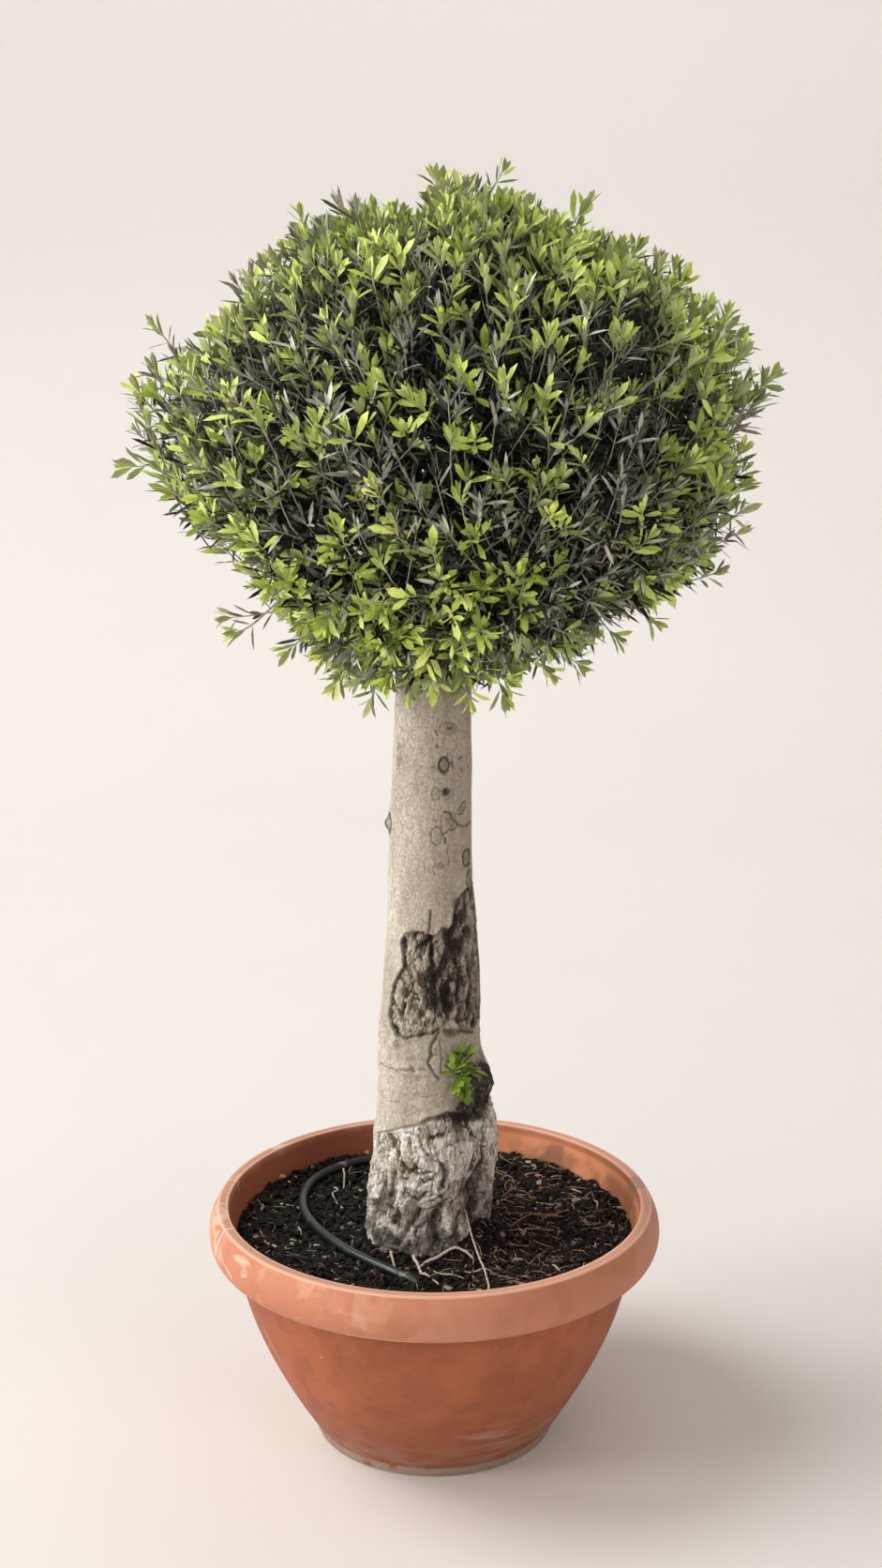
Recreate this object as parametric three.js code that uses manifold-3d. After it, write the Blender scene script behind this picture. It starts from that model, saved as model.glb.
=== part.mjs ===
// A standard ("lollipop") olive: one straight clear trunk under a clipped round crown,
// growing in a wide terracotta-coloured bowl, with a short length of watering hose on the soil.
// Millimetres, +Z up. The origin is the middle of the pot's flat underside, and -Y is the front.
import * as THREE from "three";
import { mergeVertices } from "three/addons/utils/BufferGeometryUtils.js";
import Module from "manifold-3d";

const wasm = await Module();
wasm.setup();

// ---- driving sizes ----------------------------------------------------------

const clear = 0.3; // gap between two pieces that touch
const finest = 0.02; // the shortest edge that a join or a cut may leave
const degree = Math.PI / 180;

const pot = {
  height: 319,
  footRadius: 160,
  footHeight: 13,
  wallFootRadius: 164,
  wallTopRadius: 264,
  bulge: 1.6, // how soon the wall turns upright
  wall: 6,
  floor: 9,
  bandBottom: 256,
  bandRadius: 284, // at the band's lower edge
  bandSwell: 20,
  lipOuter: 290,
  lipInner: 275,
  lipRound: 2,
  sides: 40,
};

const soil = { seatRadius: 104, seatHeight: 268, edgeHeight: 275 };

const hose = { diameter: 13, sides: 8, steps: 28 };

const trunk = { foot: soil.seatHeight + clear, tip: 1065, sides: 22, rings: 24 };

// Height, radius and sideways place of the trunk's middle, from the foot up.
const trunkStations = [
  { z: 268, radius: 83, x: -9 },
  { z: 330, radius: 81, x: -7 },
  { z: 400, radius: 78, x: 0 },
  { z: 490, radius: 72, x: -2 },
  { z: 545, radius: 67.5, x: -7 },
  { z: 640, radius: 62, x: -4 },
  { z: 700, radius: 57, x: -4 },
  { z: 760, radius: 54, x: -5 },
  { z: 870, radius: 51.5, x: -4 },
  { z: 987, radius: 48.5, x: -1 },
  { z: 1065, radius: 46, x: 1 },
];

// Burls, root lobes and hollows: how far each stands out, and how wide and tall it is.
const trunkLumps = [
  { azimuth: -14, z: 490, out: 14, wide: 22, tall: 20 }, // burl beside the sprout
  { azimuth: 4, z: 385, out: 7, wide: 26, tall: 50 },
  { azimuth: -128, z: 300, out: 8, wide: 40, tall: 38 },
  { azimuth: -60, z: 290, out: 6, wide: 24, tall: 34 },
  { azimuth: 110, z: 295, out: 9, wide: 46, tall: 40 },
  { azimuth: 35, z: 300, out: 6, wide: 36, tall: 40 },
  { azimuth: -84, z: 300, out: -7, wide: 15, tall: 44 },
  { azimuth: -34, z: 316, out: -7, wide: 16, tall: 38 },
  { azimuth: 70, z: 300, out: -6, wide: 18, tall: 44 },
  { azimuth: -80, z: 640, out: -4, wide: 26, tall: 46 }, // old wound in the bark
  { azimuth: -170, z: 840, out: 7, wide: 8, tall: 10 }, // stub of a cut shoot
  { azimuth: -28, z: 268, out: -12, wide: 34, tall: 42 },
];

const crown = {
  centre: new THREE.Vector3(27, 0, 1334),
  reach: new THREE.Vector3(364, 344, 303), // half sizes of the clipped ball
  core: 0.75, // the dense heart's share of the reach
  coreAcross: 22,
  coreUp: 14,
  shoots: 88,
};

// Swellings and dips of the clipped surface, by where they face.
const crownLobes = [
  { azimuth: 180, elevation: 8, out: 0.14, spread: 17 },
  { azimuth: 157, elevation: 58, out: 0.09, spread: 14 },
  { azimuth: 180, elevation: 31, out: -0.17, spread: 13 },
  { azimuth: 137, elevation: 72, out: -0.22, spread: 9 },
  { azimuth: 200, elevation: 74, out: -0.18, spread: 9 },
  { azimuth: 250, elevation: 60, out: -0.1, spread: 9 },
  { azimuth: 180, elevation: -30, out: -0.2, spread: 16 },
  { azimuth: 180, elevation: -72, out: 0.14, spread: 20 },
  { azimuth: 0, elevation: -86, out: 0.06, spread: 18 },
  { azimuth: 0, elevation: 10, out: 0.12, spread: 11 },
  { azimuth: 0, elevation: 48, out: -0.08, spread: 12 },
  { azimuth: 32, elevation: 66, out: -0.06, spread: 10 },
  { azimuth: 0, elevation: -20, out: 0.05, spread: 12 },
  { azimuth: 0, elevation: -60, out: -0.09, spread: 13 },
  { azimuth: 250, elevation: -44, out: 0.08, spread: 20 },
  { azimuth: 300, elevation: 20, out: 0.06, spread: 24 },
  { azimuth: 228, elevation: 22, out: -0.05, spread: 18 },
  { azimuth: 80, elevation: 30, out: 0.06, spread: 26 },
  { azimuth: 130, elevation: -10, out: 0.05, spread: 22 },
  { azimuth: 104, elevation: 8, out: -0.07, spread: 14 },
  { azimuth: 40, elevation: -30, out: -0.06, spread: 20 },
];

// Smaller lumps all over it, each where one bough's shoots stand out.
const crownLumps = { count: 60, out: 0.17, spread: 8 };

// Each mass of the crown faces one way out from a point low in its middle. Its stem stands on the
// trunk's tip, so far out from the trunk's middle, and ends so far out from that point.
const parting = new THREE.Vector3(0, 0, 1180);
const stem = { clear: 1.2, sides: 6, footRadius: 10.5, headRadius: 16, ends: 185 };
const masses = [
  { name: "crown_left", azimuth: 180, elevation: 10, stands: 33 },
  { name: "crown_right", azimuth: 0, elevation: 10, stands: 33 },
  { name: "crown_front", azimuth: 270, elevation: 10, stands: 33 },
  { name: "crown_back", azimuth: 90, elevation: 10, stands: 33 },
  { name: "crown_top_left", azimuth: 180, elevation: 70, stands: 11.5 },
  { name: "crown_top_right", azimuth: 0, elevation: 70, stands: 11.5 },
];

const shoot = {
  rooted: 0.66, // shares of the reach at which a shoot starts and ends
  tipsFrom: 0.96,
  tipsTo: 1.08,
  strays: 50,
  radius: 3.4,
  tipRadius: 1.6,
  mostPairs: 2,
};
const leaf = { length: 90, width: 30, thickness: 2.6, widest: 0.08, sunk: 8, splay: 38 };

const sprout = { azimuth: -50, z: 503, radius: 2.4, length: 24, shoots: 3, leafLength: 28, leafWidth: 11 };

// ---- helpers ----------------------------------------------------------------

// A small repeatable random source.
function randomFrom(seed) {
  let state = seed >>> 0;
  return () => {
    state = (state + 0x6d2b79f5) >>> 0;
    let t = state;
    t = Math.imul(t ^ (t >>> 15), t | 1);
    t ^= t + Math.imul(t ^ (t >>> 7), t | 61);
    return ((t ^ (t >>> 14)) >>> 0) / 4294967296;
  };
}

function facing(azimuth, elevation) {
  const level = Math.cos(elevation * degree);
  return new THREE.Vector3(
    level * Math.cos(azimuth * degree),
    level * Math.sin(azimuth * degree),
    Math.sin(elevation * degree),
  );
}

function solid(geometry) {
  const bare = geometry.clone();
  for (const name of Object.keys(bare.attributes)) {
    if (name !== "position") bare.deleteAttribute(name);
  }
  const merged = mergeVertices(bare, 1e-3);
  return new wasm.Manifold(
    new wasm.Mesh({
      numProp: 3,
      vertProperties: new Float32Array(merged.attributes.position.array),
      triVerts: new Uint32Array(merged.index.array),
      tolerance: finest,
    }),
  );
}

function joined(solids) {
  return solids.reduce((all, next) => all.add(next));
}

function geometryOf(made) {
  const mesh = made.getMesh();
  const geometry = new THREE.BufferGeometry();
  geometry.setAttribute("position", new THREE.BufferAttribute(mesh.vertProperties, 3));
  geometry.setIndex(new THREE.BufferAttribute(mesh.triVerts, 1));
  geometry.computeVertexNormals();
  return geometry;
}

// The largest body of a solid, without the scraps that cutting can leave.
function mainBody(made) {
  return made.decompose().reduce((best, next) => (next.volume() > best.volume() ? next : best));
}

// A profile of [radius, height] points turned round the upright axis.
function turned(profile, sides) {
  const points = profile.map(([radius, height]) => new THREE.Vector2(radius, height));
  return new THREE.LatheGeometry(points, sides).rotateX(Math.PI / 2);
}

// A straight tapering limb between two points, its ends cut level.
function limb(foot, head, footRadius, headRadius, sides) {
  const height = head.z - foot.z;
  const geometry = new THREE.CylinderGeometry(headRadius, footRadius, height, sides, 1).rotateX(Math.PI / 2);
  const place = geometry.attributes.position;
  for (let i = 0; i < place.count; i++) {
    const up = place.getZ(i) / height + 0.5;
    place.setXYZ(
      i,
      place.getX(i) + THREE.MathUtils.lerp(foot.x, head.x, up),
      place.getY(i) + THREE.MathUtils.lerp(foot.y, head.y, up),
      foot.z + up * height,
    );
  }
  return geometry;
}

// A three-sided twig from one point to another.
function twig(from, to, fromRadius, toRadius) {
  const along = to.clone().sub(from);
  const geometry = new THREE.CylinderGeometry(toRadius, fromRadius, along.length(), 3, 1);
  geometry.translate(0, along.length() / 2, 0);
  const turn = new THREE.Quaternion().setFromUnitVectors(new THREE.Vector3(0, 1, 0), along.normalize());
  return geometry.applyQuaternion(turn).translate(from.x, from.y, from.z);
}

// A leaf of eight faces: its root at a point, its blade along one direction with its width along another.
function blade(root, along, across, length, width, thickness) {
  const geometry = new THREE.OctahedronGeometry(1, 0);
  const place = geometry.attributes.position;
  for (let i = 0; i < place.count; i++) {
    const x = place.getX(i);
    const shifted = Math.abs(x) > 0.5 ? x : leaf.widest;
    place.setXYZ(
      i,
      ((shifted + 1) * length) / 2,
      (place.getY(i) * width) / 2,
      (place.getZ(i) * thickness) / 2,
    );
  }
  const up = new THREE.Vector3().crossVectors(along, across).normalize();
  const side = new THREE.Vector3().crossVectors(up, along).normalize();
  geometry.applyMatrix4(new THREE.Matrix4().makeBasis(along, side, up));
  return geometry.translate(root.x, root.y, root.z);
}

// ---- pot --------------------------------------------------------------------

function wallRadius(z) {
  const share = THREE.MathUtils.clamp((z - pot.footHeight) / (pot.bandBottom - pot.footHeight), 0, 1);
  return pot.wallFootRadius + (pot.wallTopRadius - pot.wallFootRadius) * (1 - (1 - share) ** pot.bulge);
}

// Heights at which both the wall and the soil inside it have a ring.
const wallHeights = [0.12, 0.3, 0.52, 0.76, 1].map(
  (share) => pot.footHeight + share * (pot.bandBottom - pot.footHeight),
);

function innerWall() {
  const rings = wallHeights.map((z) => [wallRadius(z) - pot.wall, z]);
  return [[pot.wallFootRadius - pot.wall - 2, pot.floor], ...rings, [pot.lipInner - 3.5, 298]];
}

function potGeometry() {
  const band = new THREE.CubicBezierCurve(
    new THREE.Vector2(pot.bandRadius, pot.bandBottom),
    new THREE.Vector2(pot.bandRadius + pot.bandSwell, pot.bandBottom + 6),
    new THREE.Vector2(pot.lipOuter + pot.bandSwell - 4, pot.bandBottom + 38),
    new THREE.Vector2(pot.lipOuter, pot.height - pot.lipRound),
  );
  const profile = [
    [0, 0],
    [pot.footRadius, 0],
    [pot.footRadius + 3, pot.footHeight - 1],
    [pot.wallFootRadius, pot.footHeight],
    ...wallHeights.map((z) => [wallRadius(z), z]),
    ...band.getPoints(5).map((point) => [point.x, point.y]),
    [pot.lipOuter - pot.lipRound, pot.height],
    [pot.lipInner + pot.lipRound, pot.height],
    [pot.lipInner, pot.height - pot.lipRound],
    ...innerWall().reverse(),
    [0, pot.floor],
  ];
  return turned(profile, pot.sides);
}

// ---- soil -------------------------------------------------------------------

// Level under the trunk, then rising a little towards the wall.
function soilTop(radius) {
  const edge = wallRadius(pot.bandBottom);
  const share = THREE.MathUtils.clamp((radius - soil.seatRadius) / (edge - soil.seatRadius), 0, 1);
  return soil.seatHeight + (soil.edgeHeight - soil.seatHeight) * share;
}

function soilGeometry() {
  const [start, ...rest] = innerWall();
  const lip = rest.pop();
  const last = rest[rest.length - 1];
  const share = (soil.edgeHeight - last[1]) / (lip[1] - last[1]);
  const edgeRadius = THREE.MathUtils.lerp(last[0], lip[0], share);
  const profile = [
    [0, start[1] + clear],
    [start[0] - 1, start[1] + clear],
    ...rest.map(([radius, z]) => [radius - 0.5, z]),
    [edgeRadius - 0.5, soil.edgeHeight],
    [soil.seatRadius, soil.seatHeight],
    [0, soil.seatHeight],
  ];
  return turned(profile, pot.sides);
}

// ---- hose -------------------------------------------------------------------

// Where the hose's middle runs: across, back, and its height over the soil's surface there.
// It comes up behind the trunk, goes round by the left and dives in again at the front.
const hoseRoute = [
  [-38, 226, -9],
  [-52, 228, -4],
  [-70, 228, 2],
  [-95, 221, 5],
  [-128, 200, 6],
  [-157, 171, 6],
  [-175, 138, 6],
  [-182, 97, 6],
  [-179, 56, 6],
  [-168, 20, 6],
  [-151, -15, 6],
  [-129, -48, 6],
  [-107, -76, 6],
  [-82, -102, 6],
  [-55, -127, 5.5],
  [-28, -149, 3],
  [-12, -160, -2],
  [2, -168, -9],
];

function hoseGeometry(radius) {
  const points = hoseRoute.map(([x, y, over]) => new THREE.Vector3(x, y, soilTop(Math.hypot(x, y)) + over));
  const path = new THREE.CatmullRomCurve3(points);
  const section = new THREE.Shape();
  for (let i = 0; i < hose.sides; i++) {
    const turn = (2 * Math.PI * (i + 0.5)) / hose.sides;
    const place = [radius * Math.cos(turn), radius * Math.sin(turn)];
    if (i === 0) section.moveTo(...place);
    else section.lineTo(...place);
  }
  section.closePath();
  return new THREE.ExtrudeGeometry(section, { steps: hose.steps, bevelEnabled: false, extrudePath: path });
}

// ---- trunk ------------------------------------------------------------------

const trunkShape = new THREE.CubicInterpolant(
  trunkStations.map((station) => station.z),
  trunkStations.flatMap((station) => [station.radius, station.x]),
  2,
);

function trunkRadius(z, turn) {
  let [radius] = trunkShape.evaluate(z);
  const girth = radius;
  for (const lump of trunkLumps) {
    const round = Math.atan2(Math.sin(turn - lump.azimuth * degree), Math.cos(turn - lump.azimuth * degree));
    const off = ((round * girth) / lump.wide) ** 2 + ((z - lump.z) / lump.tall) ** 2;
    radius += lump.out * Math.exp(-off);
  }
  return radius;
}

function trunkGeometry(grown = 0) {
  const height = trunk.tip - trunk.foot + 2 * grown;
  const geometry = new THREE.CylinderGeometry(1, 1, height, trunk.sides, trunk.rings).rotateX(Math.PI / 2);
  const place = geometry.attributes.position;
  for (let i = 0; i < place.count; i++) {
    const z = place.getZ(i) + height / 2 + trunk.foot - grown;
    const level = THREE.MathUtils.clamp(z, trunk.foot, trunk.tip);
    const turn = Math.atan2(place.getY(i), place.getX(i));
    const share = Math.hypot(place.getX(i), place.getY(i));
    const radius = share * (trunkRadius(level, turn) + grown);
    const [, middle] = trunkShape.evaluate(level);
    place.setXYZ(i, middle + radius * Math.cos(turn), radius * Math.sin(turn), z);
  }
  return geometry;
}

// ---- crown ------------------------------------------------------------------

// Directions spread evenly round a ball.
function spreadDirections(count) {
  const golden = Math.PI * (3 - Math.sqrt(5));
  return Array.from({ length: count }, (_, i) => {
    const z = 1 - (2 * i + 1) / count;
    const level = Math.sqrt(1 - z * z);
    return new THREE.Vector3(level * Math.cos(golden * i), level * Math.sin(golden * i), z);
  });
}

const lumpSize = randomFrom(3);
const swellings = [
  ...crownLobes.map((lobe) => ({ ...lobe, facing: facing(lobe.azimuth, lobe.elevation) })),
  ...spreadDirections(crownLumps.count).map((direction) => ({
    facing: direction,
    out: crownLumps.out * (lumpSize() - 0.5),
    spread: crownLumps.spread * (1 + lumpSize()),
  })),
];

// How far the clipped surface stands from the crown's centre, looking out along a unit direction.
function crownReach(direction) {
  const ball = 1 / Math.hypot(direction.x / crown.reach.x, direction.y / crown.reach.y, direction.z / crown.reach.z);
  let swell = 1;
  for (const lobe of swellings) {
    const away = direction.angleTo(lobe.facing) / degree;
    swell += lobe.out * Math.exp(-((away / lobe.spread) ** 2));
  }
  return ball * swell;
}

function crownPoint(direction, share) {
  return crown.centre.clone().addScaledVector(direction, crownReach(direction) * share);
}

function coreGeometry() {
  const geometry = new THREE.SphereGeometry(1, crown.coreAcross, crown.coreUp).rotateX(Math.PI / 2);
  const place = geometry.attributes.position;
  const direction = new THREE.Vector3();
  for (let i = 0; i < place.count; i++) {
    direction.fromBufferAttribute(place, i).normalize();
    place.setXYZ(i, ...crownPoint(direction, crown.core).toArray());
  }
  return geometry;
}

// A mass keeps the points that lie nearer to its own way out than to any other's.
function insideSpace(mass, point, margin) {
  const out = point.clone().sub(parting);
  return masses.every((other) => {
    if (other === mass) return true;
    const across = other.facing.clone().sub(mass.facing).normalize();
    return out.dot(across) < -margin;
  });
}

function spaceOf(mass, made) {
  const size = 2400;
  for (const other of masses) {
    if (other === mass) continue;
    const across = other.facing.clone().sub(mass.facing).normalize();
    const slab = new THREE.BoxGeometry(size, size, size).translate(0, 0, size / 2);
    slab.applyQuaternion(new THREE.Quaternion().setFromUnitVectors(new THREE.Vector3(0, 0, 1), across));
    const start = parting.clone().addScaledVector(across, -clear);
    made = made.subtract(solid(slab.translate(start.x, start.y, start.z)));
  }
  return made;
}

function stemGeometry(mass, grown) {
  const foot = new THREE.Vector3(0, 0, trunk.tip + clear).addScaledVector(facing(mass.azimuth, 0), mass.stands);
  const head = parting.clone().addScaledVector(mass.facing, stem.ends);
  if (grown) foot.z -= 5;
  return limb(foot, head, stem.footRadius + grown, stem.headRadius + grown, stem.sides);
}

// One shoot with its leaves in crossed pairs and a leaf at its tip.
function shootSolids(root, tip, size, keeps, random) {
  const along = tip.clone().sub(root).normalize();
  const sideways = new THREE.Vector3(0, 0, 1).cross(along).normalize();
  const turn = random() * 180;
  const made = [];
  const top = tip.clone().addScaledVector(along, -0.72 * size.leafLength);
  if (!keeps([root, top])) return made;
  made.push(solid(twig(root, top, size.radius, size.tipRadius)));
  const reach = top.distanceTo(root);
  const wanted = [{ back: 2, lean: 0, round: turn }];
  const pairs = Math.ceil(size.mostPairs * random());
  for (let pair = 0; pair < pairs; pair++) {
    const back = (0.16 + pair * 0.62) * size.leafLength;
    for (const half of [0, 180]) {
      wanted.push({ back, lean: leaf.splay + 10 * random(), round: turn + pair * 90 + half + 24 * random() });
    }
  }
  for (const { back, lean, round } of wanted) {
    if (back > reach - size.radius) continue;
    const swing = new THREE.Quaternion().setFromAxisAngle(along, round * degree);
    const hinge = sideways.clone().applyQuaternion(swing);
    const way = along.clone().applyAxisAngle(hinge, lean * degree);
    const start = top.clone().addScaledVector(along, -back).addScaledVector(way, -size.sunk);
    const end = start.clone().addScaledVector(way, size.leafLength);
    const middle = start.clone().lerp(end, 0.55);
    const edges = [-0.5, 0.5].map((side) => middle.clone().addScaledVector(hinge, side * size.leafWidth));
    if (!keeps([end, ...edges])) continue;
    made.push(solid(blade(start, way, hinge, size.leafLength, size.leafWidth, size.thickness)));
  }
  return made;
}

function crownSolids(fatTrunk) {
  const random = randomFrom(11);
  for (const mass of masses) mass.facing = facing(mass.azimuth, mass.elevation);
  const size = {
    ...shoot,
    leafLength: leaf.length,
    leafWidth: leaf.width,
    thickness: leaf.thickness,
    sunk: leaf.sunk,
  };
  const core = solid(coreGeometry()).subtract(fatTrunk);
  const bodies = new Map();
  for (const mass of masses) {
    let heart = spaceOf(mass, core);
    for (const other of masses) {
      if (other !== mass) heart = heart.subtract(solid(stemGeometry(other, stem.clear)));
    }
    bodies.set(mass, [mainBody(heart), solid(stemGeometry(mass, 0))]);
  }
  for (const direction of spreadDirections(crown.shoots)) {
    direction.x += 0.12 * (random() - 0.5);
    direction.y += 0.12 * (random() - 0.5);
    direction.normalize();
    const root = crownPoint(direction, shoot.rooted);
    const reach = THREE.MathUtils.lerp(shoot.tipsFrom, shoot.tipsTo, random());
    const tip = crownPoint(direction, reach);
    tip.x += shoot.strays * (random() - 0.5);
    tip.y += shoot.strays * (random() - 0.5);
    tip.z += shoot.strays * (random() - 0.5);
    const mass = masses.find((one) => insideSpace(one, root, shoot.radius + 1));
    if (!mass) continue;
    const keeps = (points) =>
      points.every((point) => {
        const level = THREE.MathUtils.clamp(point.z, trunk.foot, trunk.tip);
        const [radius] = trunkShape.evaluate(level);
        const offTrunk = point.z > trunk.tip + 60 || Math.hypot(point.x, point.y) > radius + 8;
        return offTrunk && insideSpace(mass, point, leaf.thickness);
      });
    bodies.get(mass).push(...shootSolids(root, tip, size, keeps, random));
  }
  return [...bodies].map(([mass, solids]) => [mass.name, mainBody(joined(solids))]);
}

// ---- sprout -----------------------------------------------------------------

function sproutSolid(fatTrunk) {
  const random = randomFrom(5);
  const out = facing(sprout.azimuth, 0);
  const [, middle] = trunkShape.evaluate(sprout.z);
  const onBark = trunkRadius(sprout.z, sprout.azimuth * degree);
  const root = out.clone().multiplyScalar(onBark - 3).add(new THREE.Vector3(middle, 0, sprout.z));
  const size = {
    ...sprout,
    tipRadius: 1.2,
    mostPairs: 1,
    thickness: 1.6,
    sunk: 3,
  };
  const solids = [];
  for (let i = 0; i < sprout.shoots; i++) {
    const round = (i - (sprout.shoots - 1) / 2) * 34;
    const way = facing(sprout.azimuth + round, 38 + 24 * random());
    const reach = sprout.length + sprout.leafLength * (0.8 + 0.2 * random());
    const tip = root.clone().addScaledVector(way, reach);
    solids.push(...shootSolids(root, tip, size, () => true, random));
  }
  return mainBody(joined(solids).subtract(fatTrunk));
}

// ---- materials and assembly ---------------------------------------------------

const terracotta = new THREE.MeshStandardMaterial({ color: 0xb5623f, roughness: 0.62, metalness: 0 });
const compost = new THREE.MeshStandardMaterial({ color: 0x2a221c, roughness: 0.95, metalness: 0 });
const rubber = new THREE.MeshStandardMaterial({ color: 0x2c332e, roughness: 0.5, metalness: 0 });
const bark = new THREE.MeshStandardMaterial({ color: 0xa89c8b, roughness: 0.85, metalness: 0 });
const foliage = new THREE.MeshStandardMaterial({ color: 0x55663a, roughness: 0.6, metalness: 0 });
const newLeaves = new THREE.MeshStandardMaterial({ color: 0x8fae35, roughness: 0.55, metalness: 0 });

const olive = new THREE.Group();

function addMesh(name, geometry, material) {
  const mesh = new THREE.Mesh(geometry, material);
  mesh.name = name;
  olive.add(mesh);
}

const fatTrunk = solid(trunkGeometry(clear));
const bedded = solid(soilGeometry()).subtract(solid(hoseGeometry(hose.diameter / 2 + clear)));

addMesh("pot", potGeometry(), terracotta);
addMesh("soil", geometryOf(mainBody(bedded)), compost);
addMesh("hose", hoseGeometry(hose.diameter / 2), rubber);
addMesh("trunk", trunkGeometry(), bark);
addMesh("trunk_sprout", geometryOf(sproutSolid(fatTrunk)), newLeaves);
for (const [name, made] of crownSolids(fatTrunk)) addMesh(name, geometryOf(made), foliage);

export default olive;
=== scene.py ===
import math

import bmesh
import bpy
import numpy as np
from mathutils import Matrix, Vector


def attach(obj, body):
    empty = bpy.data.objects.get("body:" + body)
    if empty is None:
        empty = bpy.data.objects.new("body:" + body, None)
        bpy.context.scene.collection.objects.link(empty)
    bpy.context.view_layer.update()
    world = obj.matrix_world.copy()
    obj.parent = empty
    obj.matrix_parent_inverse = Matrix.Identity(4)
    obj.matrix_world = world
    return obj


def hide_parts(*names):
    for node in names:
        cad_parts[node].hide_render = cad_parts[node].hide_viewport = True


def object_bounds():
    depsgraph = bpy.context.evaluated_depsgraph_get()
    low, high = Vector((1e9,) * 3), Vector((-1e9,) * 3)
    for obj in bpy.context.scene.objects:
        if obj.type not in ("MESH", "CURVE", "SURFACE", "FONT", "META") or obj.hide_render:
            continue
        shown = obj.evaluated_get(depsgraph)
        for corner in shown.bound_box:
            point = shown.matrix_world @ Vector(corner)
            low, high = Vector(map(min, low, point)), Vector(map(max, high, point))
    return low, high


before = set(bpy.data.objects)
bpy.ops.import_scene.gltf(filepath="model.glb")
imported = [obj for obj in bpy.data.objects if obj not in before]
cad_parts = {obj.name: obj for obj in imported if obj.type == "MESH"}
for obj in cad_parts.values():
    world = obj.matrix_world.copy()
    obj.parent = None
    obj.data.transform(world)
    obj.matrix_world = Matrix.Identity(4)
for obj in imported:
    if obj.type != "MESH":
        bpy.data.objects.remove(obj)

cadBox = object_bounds()
mm = 0.001


def randomFrom(seed):
    # the same repeatable numbers as the part's own source
    state = [seed]

    def draw():
        state[0] = (state[0] + 0x6D2B79F5) & 0xFFFFFFFF
        t = state[0]
        t = ((t ^ (t >> 15)) * (t | 1)) & 0xFFFFFFFF
        t ^= (t + (((t ^ (t >> 7)) * (t | 61)) & 0xFFFFFFFF)) & 0xFFFFFFFF
        return ((t ^ (t >> 14)) & 0xFFFFFFFF) / 4294967296

    return draw


def unit(vectors):
    return vectors / np.linalg.norm(vectors, axis=-1, keepdims=True)


def facing(azimuth, elevation):
    azimuth, elevation = np.radians(azimuth), np.radians(elevation)
    level = np.cos(elevation)
    return np.stack([level * np.cos(azimuth), level * np.sin(azimuth), np.sin(elevation) + 0 * azimuth], -1)


def softStep(low, high, value):
    share = np.clip((value - low) / (high - low), 0, 1)
    return share * share * (3 - 2 * share)


def scatter(cell, seed):
    # one number from -1 to 1 for each corner of an endless grid
    x, y, z = (cell[..., i].astype(np.int64) for i in range(3))
    n = (x * 73856093 ^ y * 19349663 ^ z * 83492791 ^ seed * 2654435761) & 0xFFFFFFFF
    n = ((n ^ (n >> 15)) * 2246822519) & 0xFFFFFFFF
    n = ((n ^ (n >> 13)) * 3266489917) & 0xFFFFFFFF
    return ((n ^ (n >> 16)) & 0xFFFF) / 32767.5 - 1


def softNoise(points, size, seed=0):
    # a smooth run of numbers from -1 to 1 that changes over about the size given
    place = points / np.asarray(size, float)
    cell = np.floor(place)
    part = place - cell
    part = part * part * (3 - 2 * part)
    total = np.zeros(len(points))
    for corner in np.ndindex(2, 2, 2):
        weight = np.prod(np.where(corner, part, 1 - part), axis=-1)
        total += weight * scatter(cell + np.array(corner), seed)
    return total


def layeredNoise(points, size, layers, seed=0):
    total, share = 0, 1
    for layer in range(layers):
        total = total + share * softNoise(points, np.asarray(size, float) / 2**layer, seed + layer)
        share *= 0.5
    return total


def bent(start, bend, end, t):
    # the place t of the way along a run that is drawn towards its bend
    return start * (1 - t) ** 2 + bend * 2 * t * (1 - t) + end * t * t


def gauss(value, spread):
    return np.exp(-((value / spread) ** 2))


def spreadDirections(count):
    # directions spread evenly over a ball, on a spiral from top to bottom
    z = 1 - (2 * np.arange(count) + 1) / count
    turn = math.pi * (3 - math.sqrt(5)) * np.arange(count)
    level = np.sqrt(1 - z * z)
    return np.stack([level * np.cos(turn), level * np.sin(turn), z], -1)


def curveThrough(points, steps):
    # a smooth run through the points, closer together than they are
    points = np.asarray(points, float)
    padded = np.vstack([2 * points[0] - points[1], points, 2 * points[-1] - points[-2]])
    run = []
    for i in range(1, len(padded) - 2):
        a, b, c, d = padded[i - 1 : i + 3]
        for t in np.arange(steps) / steps:
            turns = (c - a) * t + (2 * a - 5 * b + 4 * c - d) * t * t + (3 * b - a - 3 * c + d) * t**3
            run.append(0.5 * (2 * b + turns))
    return np.array(run + [points[-1]])


def addPiece(name, mesh, slot, *nodes):
    piece = bpy.data.objects.new(name, mesh)
    bpy.context.scene.collection.objects.link(piece)
    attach(piece, "root")
    if nodes:
        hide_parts(*nodes)
    return piece


def turned(profile, steps):
    # a run of radii and heights, spun into one skin
    skin = bmesh.new()
    line = [skin.verts.new((radius * mm, 0, z * mm)) for radius, z in profile]
    edges = [skin.edges.new(pair) for pair in zip(line, line[1:])]
    bmesh.ops.spin(
        skin, geom=line + edges, cent=(0, 0, 0), axis=(0, 0, 1), angle=2 * math.pi, steps=steps, use_merge=True
    )
    bmesh.ops.remove_doubles(skin, verts=skin.verts[:], dist=0.01 * mm)
    bmesh.ops.recalc_face_normals(skin, faces=skin.faces[:])
    return skin


def meshOf(name, bm, materials, smooth=True):
    mesh = bpy.data.meshes.new(name)
    bm.to_mesh(mesh)
    bm.free()
    for material in materials:
        mesh.materials.append(material)
    mesh.polygons.foreach_set("use_smooth", [smooth] * len(mesh.polygons))
    mesh.update()
    return mesh


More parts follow.
